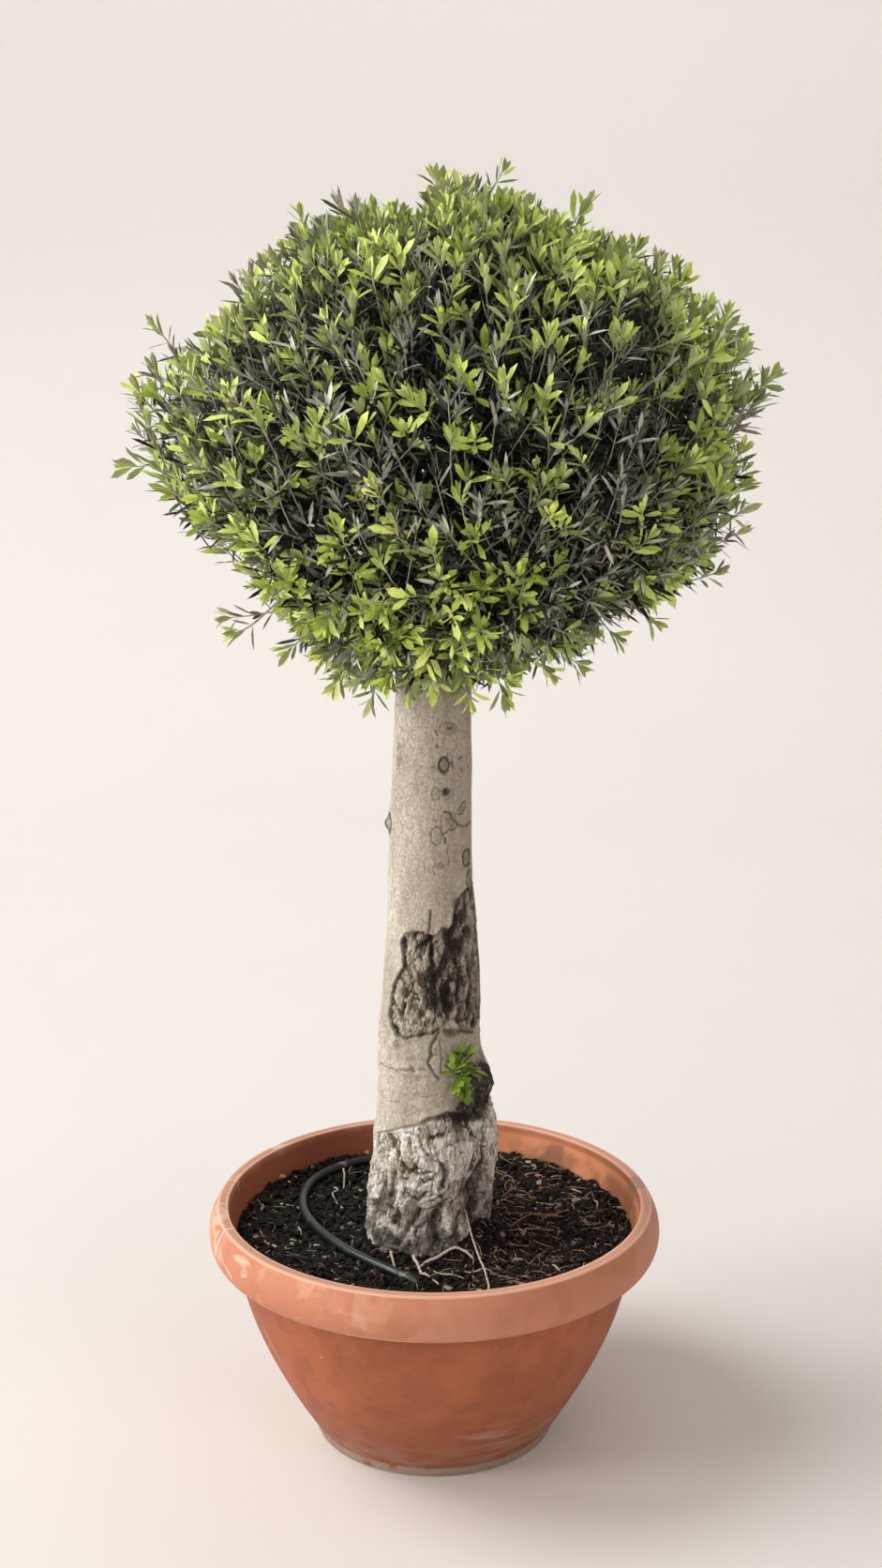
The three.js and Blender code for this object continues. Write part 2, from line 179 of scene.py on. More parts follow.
def templateOf(bm):
    # the points and triangles of a small shape, to be repeated by arrays
    bmesh.ops.triangulate(bm, faces=bm.faces[:])
    bm.verts.index_update()
    template = {
        "points": np.array([v.co[:] for v in bm.verts]),
        "triangles": np.array([[v.index for v in f.verts] for f in bm.faces]),
        "finish": np.array([f.material_index for f in bm.faces]),
    }
    bm.free()
    return template


def repeated(name, template, places, materials, smooth=False):
    # one mesh of many copies: places holds the template's points once for each
    copies, each = places.shape[:2]
    triangles = (template["triangles"][None] + (np.arange(copies) * each)[:, None, None]).reshape(-1, 3)
    mesh = bpy.data.meshes.new(name)
    mesh.vertices.add(copies * each)
    mesh.vertices.foreach_set("co", (places * mm).astype(np.float32).ravel())
    mesh.loops.add(triangles.size)
    mesh.loops.foreach_set("vertex_index", triangles.astype(np.int32).ravel())
    mesh.polygons.add(len(triangles))
    mesh.polygons.foreach_set("loop_start", np.arange(0, triangles.size, 3, dtype=np.int32))
    mesh.polygons.foreach_set("material_index", np.tile(template["finish"], copies).astype(np.int32))
    mesh.polygons.foreach_set("use_smooth", np.full(len(triangles), smooth))
    for material in materials:
        mesh.materials.append(material)
    mesh.update(calc_edges=True)
    return mesh


class Reading:
    # a shader socket that can be reckoned with, adding a Math node for each step
    def __init__(self, shader, socket):
        self.shader, self.socket = shader, socket

    def maths(self, operation, *values):
        return self.shader.add("ShaderNodeMath", {"operation": operation}, dict(enumerate(values)))

    def __add__(self, other):
        return self.maths("ADD", self, other)

    def __radd__(self, other):
        return self.maths("ADD", other, self)

    def __sub__(self, other):
        return self.maths("SUBTRACT", self, other)

    def __rsub__(self, other):
        return self.maths("SUBTRACT", other, self)

    def __mul__(self, other):
        return self.maths("MULTIPLY", self, other)

    def __rmul__(self, other):
        return self.maths("MULTIPLY", other, self)

    def __pow__(self, other):
        return self.maths("POWER", self, other)

    def __abs__(self):
        return self.maths("ABSOLUTE", self)

    def above(self, level, softness):
        # nought below the level, one above it
        return self.shader.add(
            "ShaderNodeMapRange",
            {"interpolation_type": "SMOOTHSTEP"},
            {"Value": self, "From Min": level - softness, "From Max": level + softness},
        )


class Finish:
    # a material, and the nodes that are added to it
    def __init__(self, name, roughness=0.7, specular=0.5):
        self.material = bpy.data.materials.new(name)
        self.material.use_nodes = True
        self.tree = self.material.node_tree
        self.surface = self.tree.nodes["Principled BSDF"]
        self.surface.inputs["Roughness"].default_value = roughness
        self.surface.inputs["Specular IOR Level"].default_value = specular

    def add(self, kind, settings=None, sockets=None, output=0):
        node = self.tree.nodes.new(kind)
        for key, value in (settings or {}).items():
            setattr(node, key, value)
        for key, value in (sockets or {}).items():
            if isinstance(value, Reading):
                self.tree.links.new(value.socket, node.inputs[key])
            else:
                node.inputs[key].default_value = value
        return Reading(self, node.outputs[output])

    def place(self, scale):
        where = self.add("ShaderNodeTexCoord", output="Object")
        return self.add("ShaderNodeMapping", None, {"Vector": where, "Scale": scale})

    def axes(self):
        where = self.add("ShaderNodeTexCoord", output="Object")
        split = self.add("ShaderNodeSeparateXYZ", None, {"Vector": where}).socket.node
        return [Reading(self, split.outputs[axis]) for axis in "XYZ"]

    def noise(self, scale, detail=3, stretch=(1, 1, 1), distortion=0):
        sockets = {"Vector": self.place(stretch), "Scale": scale, "Detail": detail, "Distortion": distortion}
        return self.add("ShaderNodeTexNoise", None, sockets)

    def cells(self, scale, stretch=(1, 1, 1)):
        return self.add("ShaderNodeTexVoronoi", None, {"Vector": self.place(stretch), "Scale": scale})

    def thinLines(self, scale, width, stretch=(1, 1, 1)):
        # one along thin wandering lines and nought between them
        return 1 - abs(self.noise(scale, detail=4, stretch=stretch, distortion=0.7) - 0.5).above(width, width)

    def painted(self, name):
        return self.add("ShaderNodeAttribute", {"attribute_name": name}, output="Fac")

    def mix(self, factor, first, second):
        colours = [c if isinstance(c, Reading) else (*c, 1) for c in (first, second)]
        sockets = {0: factor, 6: colours[0], 7: colours[1]}
        return self.add("ShaderNodeMix", {"data_type": "RGBA"}, sockets, output=2)

    def coats(self, colour, *coats):
        # each coat over the last: how much of it shows, and its colour
        for share, coat in coats:
            colour = self.mix(share, colour, coat)
        return colour

    def bump(self, height, strength, distance):
        return self.add("ShaderNodeBump", None, {"Height": height, "Strength": strength, "Distance": distance})

    def feed(self, **links):
        for name, value in links.items():
            socket = self.surface.inputs[name.replace("_", " ")]
            self.tree.links.new(value.socket, socket)
        return self.material


studio = {
    "cameraPlace": (0.0088, -2.7, 1.5304),
    "cameraTilt": 90 - 13.379,
    "lens": 49.86,
    "skyColour": (0.97, 0.90, 0.83),
    "skyStrength": 0.40,
    "floorColour": (0.80, 0.775, 0.75),
    # half the floor's width, its front edge, where it starts to sweep up, how round the sweep is
    # and the wall's top
    "sweep": (7, -6, 3.4, 1.8, 6),
    # place, aim, size, power and colour of each light
    "lights": {
        "keyLight": ((-8.6, 0.75, 10.4), (0, 0, 0.9), 6.5, 1130, (1, 0.985, 0.965)),
        "leftLight": ((-5.4, -1.9, 2), (0, -2.6, 1.1), 2.2, 178, (1, 0.985, 0.965)),
        "frontLight": ((-2.6, -5, 3.4), (0, 0, 0.9), 4, 34, (1, 0.985, 0.965)),
        "fillLight": ((3.6, -4.6, 3.2), (0, 0, 0.9), 3, 50, (1, 0.98, 0.96)),
        "backLight": ((1.6, 1.6, 4.6), (1.5, 5.2, 2.9), 3, 46, (0.975, 0.985, 1)),
    },
}


def addLight(name, place, aim, size, power, colour):
    light = bpy.data.lights.new(name, "AREA")
    light.shape, light.size, light.energy, light.color = "SQUARE", size, power, colour
    holder = bpy.data.objects.new(name, light)
    holder.location = place
    holder.rotation_euler = (Vector(aim) - Vector(place)).to_track_quat("-Z", "Y").to_euler()
    bpy.context.scene.collection.objects.link(holder)


def buildStudio():
    lens = bpy.data.cameras.new("camera")
    lens.lens, lens.sensor_width, lens.sensor_fit = studio["lens"], 36, "AUTO"
    camera = bpy.data.objects.new("camera", lens)
    camera.location = studio["cameraPlace"]
    camera.rotation_euler = (math.radians(studio["cameraTilt"]), 0, 0)
    bpy.context.scene.collection.objects.link(camera)
    bpy.context.scene.camera = camera
    bpy.context.scene.view_settings.view_transform = "Standard"

    for name, settings in studio["lights"].items():
        addLight(name, *settings)
    world = bpy.data.worlds.new("softSky")
    world.use_nodes = True
    sky = world.node_tree.nodes["Background"]
    sky.inputs["Color"].default_value = (*studio["skyColour"], 1)
    sky.inputs["Strength"].default_value = studio["skyStrength"]
    bpy.context.scene.world = world

    finish = Finish("paleFloor", roughness=0.9, specular=0.2)
    tone = studio["floorColour"]
    cloudy = finish.noise(1.4, detail=4)
    finish.feed(
        Base_Color=finish.mix(cloudy, tone, tuple(c * 0.96 for c in tone)),
        Normal=finish.bump(finish.noise(60), 0.05, 0.002),
    )
    # a floor that sweeps up into a wall far behind
    half, front, bend, arc, top = studio["sweep"]
    sweep = bmesh.new()
    run = [(front, 0), (bend, 0)]
    run += [(bend + arc * math.sin(a), arc - arc * math.cos(a)) for a in np.radians(np.arange(6, 91, 6))]
    run += [(bend + arc, top)]
    line = [sweep.verts.new((-half, y, z)) for y, z in run]
    edges = [sweep.edges.new(pair) for pair in zip(line, line[1:])]
    grown = bmesh.ops.extrude_edge_only(sweep, edges=edges)["geom"]
    farSide = [v for v in grown if isinstance(v, bmesh.types.BMVert)]
    bmesh.ops.translate(sweep, verts=farSide, vec=(2 * half, 0, 0))
    bmesh.ops.recalc_face_normals(sweep, faces=sweep.faces[:])
    if sum(f.normal.z for f in sweep.faces) < 0:
        bmesh.ops.reverse_faces(sweep, faces=sweep.faces[:])
    floor = bpy.data.objects.new("floor", meshOf("floor", sweep, [finish.material]))
    bpy.context.scene.collection.objects.link(floor)
    print("studio ready")


buildStudio()

# the sizes of the pot, soil, hose, trunk and crown are those of the part's source, in millimetres
pot = {
    "height": 319, "footRadius": 160, "footHeight": 13, "wallFootRadius": 164, "wallTopRadius": 264,
    "bulge": 1.6, "wall": 6, "floor": 9, "bandBottom": 256, "bandRadius": 284, "bandSwell": 20,
    "lipOuter": 290, "lipInner": 275, "steps": 288,
}
soil = {"seatRadius": 104, "seatHeight": 268, "edgeHeight": 275, "moundHeight": 24, "steps": 320, "rings": 108}


def wallRadius(z):
    share = np.clip((z - pot["footHeight"]) / (pot["bandBottom"] - pot["footHeight"]), 0, 1)
    spread = pot["wallTopRadius"] - pot["wallFootRadius"]
    return pot["wallFootRadius"] + spread * (1 - (1 - share) ** pot["bulge"])


def soilTop(radius):
    edge = wallRadius(pot["bandBottom"])
    share = np.clip((radius - soil["seatRadius"]) / (edge - soil["seatRadius"]), 0, 1)
    return soil["seatHeight"] + (soil["edgeHeight"] - soil["seatHeight"]) * share


hose = {
    "diameter": 13,
    "steps": 8,
    # across, back, and the height of its middle over the soil
    "route": [
        (-38, 226, -9), (-52, 228, -4), (-70, 228, 2), (-95, 221, 5), (-128, 200, 6), (-157, 171, 6),
        (-175, 138, 6), (-182, 97, 6), (-179, 56, 6), (-168, 20, 6), (-151, -15, 6), (-129, -48, 6),
        (-107, -76, 6), (-82, -102, 6), (-55, -127, 5.5), (-28, -149, 3), (-12, -160, -2), (2, -168, -9),
    ],
}


def hosePath():
    route = [(x, y, soilTop(math.hypot(x, y)) + over) for x, y, over in hose["route"]]
    return curveThrough(route, hose["steps"])


def buildHose():
    finish = Finish("darkHose", roughness=0.42, specular=0.45)
    dusty = finish.noise(30, detail=5).above(0.56, 0.1) * finish.noise(240).above(0.5, 0.12)
    worn = finish.noise(85, detail=2, stretch=(1, 1, 0.4)).above(0.7, 0.03)
    colour = finish.mix(dusty * 0.6, (0.010, 0.018, 0.009), (0.048, 0.052, 0.034))
    colour = finish.mix(worn * 0.5, colour, (0.3, 0.3, 0.27))
    relief = finish.bump(finish.noise(300), 0.15, 0.0004)
    finish.feed(Base_Color=colour, Roughness=0.28 + dusty * 0.4, Normal=relief)

    path = hosePath() * mm
    curve = bpy.data.curves.new("hose", "CURVE")
    curve.dimensions = "3D"
    curve.bevel_depth = hose["diameter"] / 2 * mm
    curve.bevel_resolution = 5
    curve.use_fill_caps = True
    line = curve.splines.new("POLY")
    line.points.add(len(path) - 1)
    for point, place in zip(line.points, path):
        point.co = (*place, 1)
    curve.materials.append(finish.material)
    line.use_smooth = True
    piece = addPiece("wateringHose", curve, "hose", "hose")


buildHose()


def potProfile():
    low, top, out, lip = pot["bandBottom"], pot["height"], pot["lipOuter"], pot["lipInner"]
    foot, footTop, band, swell = pot["footRadius"], pot["footHeight"], pot["bandRadius"], pot["bandSwell"]
    outer = [(wallRadius(z), z) for z in footTop + np.linspace(0.06, 1, 24) * (low - footTop)]
    inner = [(pot["wallFootRadius"] - pot["wall"] - 2, pot["floor"])]
    inner += [(radius - pot["wall"], z) for radius, z in outer] + [(lip - 3.5, top - 21)]
    base = [(0, 0), (foot - 2, 0), (foot + 0.6, 1.2), (foot + 2.4, 6), (foot + 3, footTop - 2)]
    base += [(foot + 1.6, footTop - 0.6), (foot + 1.8, footTop + 1)]
    under = [(band - 12, low - 1.5), (band - 3, low - 1.2)]
    # the band's side is one curve, drawn towards two points outside it
    ends = [(band, low), (band + swell, low + 6), (out + swell - 4, low + 38), (out, top - 2.5)]
    side = []
    for t in np.linspace(0, 1, 22):
        weights = ((1 - t) ** 3, 3 * t * (1 - t) ** 2, 3 * t * t * (1 - t), t**3)
        side.append(tuple(sum(w * end[i] for w, end in zip(weights, ends)) for i in range(2)))
    rim = [(out - 0.8, top - 0.7), (out - 2.5, top), (lip + 2, top), (lip + 0.5, top - 0.5), (lip, top - 2)]
    return base + outer + under + side + rim + inner[::-1] + [(0, pot["floor"])]


def potFinish():
    # heights and radii here are in metres, as the shader reads them
    finish = Finish("terracottaPlastic", roughness=0.55, specular=0.35)
    x, y, z = finish.axes()
    turn = finish.add("ShaderNodeMath", {"operation": "ARCTAN2"}, {0: y, 1: x})
    radius = (x * x + y * y) ** 0.5
    within, outside = 1 - radius.above(0.2735, 0.0008), radius.above(0.2745, 0.002)

    def between(low, high, soft, softTop=None):
        return z.above(low, soft) * (1 - z.above(high, softTop or soft))

    def streak(azimuth, width, low, high, soft=0.001):
        # a mark about one heading, between two heights
        return (1 - abs(turn - math.radians(azimuth)).above(width, 0.002)) * between(low, high, soft)

    cloudy, mottled = finish.noise(9, detail=5), finish.noise(27, detail=5)
    speckle, grit = finish.noise(420, detail=2), finish.noise(150, detail=3)
    rubbed = finish.noise(24, detail=6, stretch=(1, 1, 0.5), distortion=0.8).above(0.54, 0.05)
    wall = finish.coats(
        finish.mix(cloudy.above(0.5, 0.3), (0.30, 0.080, 0.032), (0.435, 0.13, 0.054)),
        (mottled.above(0.55, 0.08) * 0.4, (0.25, 0.068, 0.03)),
        # painted shade, darker towards the foot
        ((1 - z.above(0.09, 0.07)) * 0.4, (0.22, 0.068, 0.034)),
        (speckle.above(0.62, 0.05) * 0.45, (0.54, 0.15, 0.06)),
    )
    band = finish.coats(
        finish.mix(cloudy, (0.51, 0.185, 0.10), (0.60, 0.245, 0.143)),
        (finish.noise(3.2, detail=2).above(0.55, 0.12) * 0.5, (0.60, 0.285, 0.20)),
        (mottled.above(0.56, 0.07) * 0.35, (0.44, 0.15, 0.08)),
        (rubbed * (1 - x.above(-0.05, 0.16)) * 0.45, (0.74, 0.40, 0.26)),
    )
    # within, painted shade at the left and painted light at the right, with a stain and the moulding's seam there
    litSide = finish.mix(cloudy, (0.70, 0.25, 0.115), (0.88, 0.37, 0.18))
    inside = finish.mix(x.above(0.07, 0.2), finish.mix(cloudy, (0.29, 0.082, 0.038), (0.40, 0.125, 0.058)), litSide)
    stain = finish.noise(13, detail=5).above(0.5, 0.08) * between(0.268, 0.302, 0.006, 0.01) * x.above(0.1, 0.06)
    seam = 1 - abs(turn - math.radians(51) + (mottled - 0.5) * 0.22).above(0.055, 0.02)
    # the lip's top is pale at both edges and worn between them
    lip = z.above(pot["height"] * mm - 0.0022, 0.0006)
    worn = finish.mix(x.above(-0.1, 0.2), (0.43, 0.225, 0.155), (0.60, 0.285, 0.19))
    flat = radius.above(0.2784, 0.0008) * (1 - radius.above(0.2866, 0.0008))
    # dust and lime on the foot, creeping up the wall
    crust = (1 - z.above(0.0125, 0.0006)) * finish.noise(34, detail=5).above(0.36, 0.07)
    creep = (1 - z.above(0.05, 0.035)) * finish.noise(26, detail=5, stretch=(1, 1, 2.6)).above(0.5, 0.12)
    wiped = finish.noise(14, detail=4, stretch=(0.6, 0.6, 7), distortion=0.6).above(0.6, 0.05)
    wiped = wiped * between(0.022, 0.085, 0.008, 0.02) * x.above(0.02, 0.05)
    # pale scuffs on the left of the band, nicks across its lip, chips, and a scratch down the wall
    scuffed = finish.noise(11, detail=4, stretch=(1, 1, 2), distortion=1.2).above(0.6, 0.05)
    scuffed = scuffed * (1 - x.above(-0.12, 0.08)) * z.above(0.262, 0.006) * outside
    nicks = streak(-160, 0.006, 0.292, 0.33) + streak(168, 0.004, 0.304, 0.33) + streak(-176, 0.0035, 0.30, 0.33)
    nicks = nicks + streak(6, 0.005, 0.297, 0.33) + streak(-104.5, 0.13, 0.2605, 0.2618, 0.0004) * 0.8
    chips = streak(-111, 0.004, 0.2555, 0.262, 0.0008) + streak(-124, 0.006, 0.196, 0.1975, 0.0006)
    greyed = streak(10, 0.075, 0.30, 0.33) * z.above(0.3, 0.004)
    scratch = abs(turn + math.radians(133) + finish.noise(7, detail=1, stretch=(1, 1, 0.25)) * 0.02 + z * 1.7)
    scratch = (1 - scratch.above(0.007, 0.003)) * between(0.15, 0.19, 0.012, 0.014)
    pits = (1 - finish.cells(230).above(0.09, 0.03)) * finish.noise(19).above(0.58, 0.05)
    colour = finish.coats(
        finish.mix(z.above(0.2555, 0.0004) * outside, wall, band),
        # the inside, with its painted shade at the left and painted light at the right
        (within * z.above(0.262, 0.002), inside),
        (stain * within * 0.6, (0.20, 0.075, 0.04)),
        (seam * between(0.27, 0.309, 0.004) * within * 0.65, (0.23, 0.09, 0.05)),
        (lip * 0.75, (0.86, 0.50, 0.35)),
        (lip * flat * (0.65 + mottled * 0.3), worn),
        (crust * 0.85, (0.36, 0.29, 0.225)),
        (creep * 0.5, (0.34, 0.235, 0.165)),
        (wiped * 0.55, (0.50, 0.36, 0.27)),
        (scuffed * 0.65, (0.86, 0.62, 0.46)),
        ((nicks + chips) * 0.7, (0.85, 0.66, 0.52)),
        (greyed * 0.55, (0.34, 0.22, 0.16)),
        (scratch * grit.above(0.42, 0.1) * 0.7, (0.76, 0.45, 0.33)),
        (pits * 0.6, (0.16, 0.05, 0.025)),
    )
    relief = grit * 0.5 + speckle * 0.3 + cloudy * 0.8 - nicks
    return finish.feed(
        Base_Color=colour, Roughness=0.5 + cloudy * 0.16 + crust * 0.25, Normal=finish.bump(relief, 0.22, 0.0006)
    )


def buildPot():
    shell = turned(potProfile(), pot["steps"])
    piece = addPiece("bowl", meshOf("bowl", shell, [potFinish()]), "pot", "pot")
    piece.data.set_sharp_from_angle(angle=math.radians(42))
    print("pot done")


buildPot()

trunk = {
    "tip": 1065,
    "turns": 208,
    "frontCrowding": 0.35,
    # how many rings of the mesh lie between these heights
    "spans": [(266, 470, 138), (470, 560, 44), (560, 770, 126), (770, 985, 128), (985, 1065, 20)],
    # height, radius and sideways place of its middle
    "stations": [
        (268, 83, -9), (330, 81, -7), (400, 78, 0), (490, 72, -2), (545, 67.5, -7), (640, 62, -4),
        (700, 57, -4), (760, 54, -5), (870, 51.5, -4), (987, 48.5, -1), (1065, 46, 1),
    ],
    # azimuth, height, how far out, how wide and how tall
    "lumps": [
        (-18, 499, 10, 24, 22), (4, 385, 7, 26, 50), (-128, 300, 8, 40, 38), (-60, 290, 6, 24, 34),
        (110, 295, 9, 46, 40), (35, 300, 6, 36, 40), (-84, 300, -7, 15, 44), (-34, 316, -7, 16, 38),
        (70, 300, -6, 18, 44), (-80, 640, -4, 26, 46), (-170, 840, 7, 8, 10), (-28, 268, -12, 34, 42),
    ],
}


def trunkMiddle(z):
    # radius and sideways place of the trunk's middle, on a smooth run through the stations
    heights, radii, shifts = np.array(trunk["stations"], float).T
    z = np.clip(z, heights[0], heights[-1])
    i = np.clip(np.searchsorted(heights, z) - 1, 0, len(heights) - 2)
    t = (z - heights[i]) / (heights[i + 1] - heights[i])
    t = t * t * (3 - 2 * t) * 0.4 + t * 0.6
    return radii[i] + (radii[i + 1] - radii[i]) * t, shifts[i] + (shifts[i + 1] - shifts[i]) * t


def roundOff(turn, azimuth):
    # how far each heading is from another, the short way round
    away = turn - np.radians(azimuth)
    return np.arctan2(np.sin(away), np.cos(away))


def trunkRadius(z, turn):
    girth, _ = trunkMiddle(z)
    radius = girth.copy()
    for azimuth, height, out, wide, tall in trunk["lumps"]:
        off = (roundOff(turn, azimuth) * girth / wide) ** 2 + ((z - height) / tall) ** 2
        radius += out * np.exp(-off)
    return radius


def offFoot(x, y):
    # the heading of each place on the soil from the trunk's foot, and how far it is from the bark
    height, _, shift = trunk["stations"][0]
    turn = np.arctan2(y, x - shift)
    return turn, np.hypot(x - shift, y) - trunkRadius(np.full(len(x), float(height)), turn)


litter = {
    # for each kind: how many, least and greatest length, width and thickness, then seed, tilt and lift
    "crumbs": {
        "barkChips": (5200, [(6, 19), (4, 10), (2, 5.5)], 1, 0.4, 0.25),
        "brownChips": (300, [(5, 17), (2.5, 7), (1.5, 4)], 2, 0.5, 0.5),
        "paleBits": (150, [(7, 24), (0.9, 2.6), (0.7, 1.6)], 3, 0.45, 0.9),
        "flakes": (36, [(9, 19), (6, 11), (0.8, 1.6)], 6, 0.35, 2.2),
        "pebbles": (50, [(5, 11), (4, 9), (4, 8)], 4, 0.6, 0.3),
    },
    # how many fibres, how long, and from how far left
    "fibres": {"dryFibre": (330, (14, 46), -300), "redFibre": (760, (12, 44), 30)},
    # darkest and lightest colour of each kind
    "tints": {
        "barkChips": ((0.0032, 0.0024, 0.0018), (0.016, 0.011, 0.0075)),
        "brownChips": ((0.035, 0.018, 0.01), (0.15, 0.085, 0.05)),
        "paleBits": ((0.34, 0.25, 0.17), (0.66, 0.54, 0.42)),
        "flakes": ((0.20, 0.14, 0.095), (0.48, 0.37, 0.27)),
        "pebbles": ((0.12, 0.09, 0.065), (0.30, 0.24, 0.18)),
        "dryFibre": ((0.15, 0.11, 0.07), (0.52, 0.42, 0.31)),
        "redFibre": ((0.22, 0.115, 0.07), (0.56, 0.38, 0.26)),
        "paleRoot": ((0.42, 0.33, 0.25), (0.74, 0.64, 0.53)),
        "redRoot": ((0.20, 0.09, 0.055), (0.42, 0.24, 0.15)),
        "shard": ((0.40, 0.13, 0.07), (0.60, 0.25, 0.15)),
        "paleChip": ((0.34, 0.27, 0.21), (0.66, 0.57, 0.48)),
        "leafBit": ((0.22, 0.28, 0.07), (0.42, 0.48, 0.14)),
    },
    # roots and stems that lie on the soil: radius at each end, and the places they run through
    "strands": {
        "paleRoot": [
            (2.8, 1.4, [(-18, -106, 1), (-4, -95, 5), (16, -88, 7), (38, -91, 6), (52, -106, 1)]),
            (2.2, 1.2, [(-27, -98, 13), (-20, -122, 8), (-9, -142, 7), (6, -164, 4)]),
            (1.5, 0.8, [(-18, -126, 4), (-18, -144, 3), (-20, -162, 1)]),
            (1.8, 1.0, [(-57, -84, 12), (-52, -104, 4), (-50, -124, 1)]),
            (1.0, 1.4, [(39, -62, 34), (50, -92, 20), (62, -130, 12), (69, -168, 8), (68, -192, 2)]),
            (1.1, 0.6, [(20, -120, 1), (44, -132, 4), (66, -128, 5), (90, -138, 1)]),
            (0.9, 0.6, [(-10, -120, 1), (16, -138, 5), (40, -150, 4), (56, -172, 1)]),
            (1.6, 1.0, [(190, 132, 1), (198, 122, 4), (207, 116, 1)]),
            (1.4, 0.9, [(201, 156, 1), (208, 152, 3), (215, 149, 1)]),
            (1.5, 1.0, [(219, 88, 1), (224, 72, 4), (221, 58, 1)]),
            (1.1, 0.8, [(136, 92, 1), (150, 80, 4), (166, 78, 3), (178, 92, 1)]),
            (1.5, 0.9, [(148, -106, 1), (157, -119, 3), (166, -131, 1)]),
            (1.2, 0.8, [(94, -98, 1), (110, -92, 4), (126, -90, 1)]),
            (2.3, 1.2, [(-214, 78, 1), (-198, 66, 3), (-180, 58, 1)]),
            (1.2, 0.8, [(-145, 140, 2), (-136, 127, 6), (-142, 107, 6), (-126, 68, 1)]),
            (2.3, 1.0, [(-226, -42, 1), (-206, -62, 3), (-184, -60, 1)]),
            (1.2, 0.8, [(-188, 14, 1), (-181, -2, 3), (-178, -15, 1)]),
            (1.4, 0.9, [(-132, 198, 1), (-128, 162, 8), (-128, 128, 2)]),
            (1.3, 0.9, [(-80, -122, 1), (-72, -130, 3), (-62, -137, 1)]),
        ],
        "redRoot": [
            (1.4, 0.8, [(104, -30, 1), (128, -10, 7), (152, -12, 6), (176, 6, 1)]),
            (1.2, 0.8, [(100, 10, 1), (126, 34, 8), (158, 38, 6), (188, 60, 1)]),
        ],
    },
    # how far from the middle litter may lie and reach, and how far it keeps from the middle of the hose
    "spotRadius": 262,
    "reach": 266,
    "hoseGap": 9.5,
    # flat bits: place, size across and kind
    "shards": [
        (148, 172, 12, "shard"), (-236, -30, 12, "shard"), (57, -180, 9, "leafBit"), (60, -186, 7, "leafBit"),
        (227, 105, 8, "leafBit"), (239, 120, 7, "leafBit"), (-216, 155, 13, "paleChip"),
        (-203, 146, 9, "paleChip"), (254, 55, 9, "paleChip"), (117, -13, 9, "paleChip"),
        (-155, -50, 10, "paleChip"), (135, 208, 11, "paleChip"),
    ],
}


def hoseDistance(x, y):
    path = hosePath()
    away = np.hypot(x[:, None] - path[None, :, 0], y[:, None] - path[None, :, 1])
    nearest = away.argmin(axis=1)
    return away[np.arange(len(x)), nearest], path[nearest, 2]


def soilHeight(x, y):
    radius = np.hypot(x, y)
    points = np.stack([x, y, 0 * x], -1)
    height = soilTop(radius)
    height += 2.6 * layeredNoise(points, 46, 2, 20) + 2.2 * layeredNoise(points, 13, 3, 30)
    # heaped a little against the trunk and the wall, and in a mound on the trunk's right
    turn, off = offFoot(x, y)
    height += 5 * gauss(off, 16) + 3 * softStep(225, 262, radius)
    heading = np.degrees(turn)
    height += soil["moundHeight"] * gauss(off, 40) * softStep(-84, -48, heading) * softStep(14, -20, heading)
    # dished where the hose lies, and heaped over its ends
    away, middle = hoseDistance(x, y)
    dish = middle - np.sqrt(np.clip(42 - away**2, 0, None)) + 1.5  # 42 is nearly its radius squared
    height = np.where(away < 9, np.minimum(height, dish), height)
    buried = (middle < soilTop(radius) + 0.5) & (away < 16)
    return np.where(buried, np.maximum(height, middle + 8.2 * softStep(16, 5, away)), height)


def earthFinish(name, dark, light, roughness=0.95):
    finish = Finish(name, roughness=roughness, specular=0.25)
    colour = finish.mix(finish.noise(130, detail=5), dark, light)
    return finish.feed(Base_Color=colour, Normal=finish.bump(finish.noise(420, detail=4), 0.5, 0.001))


def woodyFinish(name, dark, light):
    finish = Finish(name, roughness=0.85, specular=0.25)
    colour = finish.mix(finish.noise(190, detail=4, stretch=(1, 0.35, 1)), dark, light)
    return finish.feed(Base_Color=colour, Normal=finish.bump(finish.noise(500), 0.35, 0.0005))


def buildSoil():
    low, high, floor = pot["footHeight"], pot["bandBottom"], pot["floor"] + 0.5
    profile = [(0, floor), (pot["wallFootRadius"] - pot["wall"] - 4, floor)]
    profile += [(wallRadius(z) - pot["wall"] - 0.7, z) for z in low + np.linspace(0.06, 1, 8) * (high - low)]
    level = 300  # the top is made flat here, over everything else, and then shaped
    edge = wallRadius(high) - 0.5
    profile += [(radius, level) for radius in np.linspace(edge, 0, soil["rings"])]
    bed = turned(profile, soil["steps"])
    surface = [v for v in bed.verts if v.co.z > (level - 1) * mm]
    places = np.array([v.co[:] for v in surface]) / mm
    for vert, z in zip(surface, soilHeight(places[:, 0], places[:, 1])):
        vert.co.z = z * mm
    earth = earthFinish("dampCompost", (0.003, 0.0023, 0.0017), (0.016, 0.0115, 0.008))
    addPiece("soilBed", meshOf("soilBed", bed, [earth]), "soil", "soil")
    for name in litter["crumbs"]:
        layCrumbs(name)
    layFibres()
    layStrands()
    layShards()
    print("soil done")


def chipTemplate():
    # a rough flat crumb of bark
    crumb = bmesh.new()
    bmesh.ops.create_icosphere(crumb, subdivisions=1, radius=0.5)
    draw = randomFrom(31)
    for vert in crumb.verts:
        vert.co *= 0.7 + 0.6 * draw()
    return templateOf(crumb)


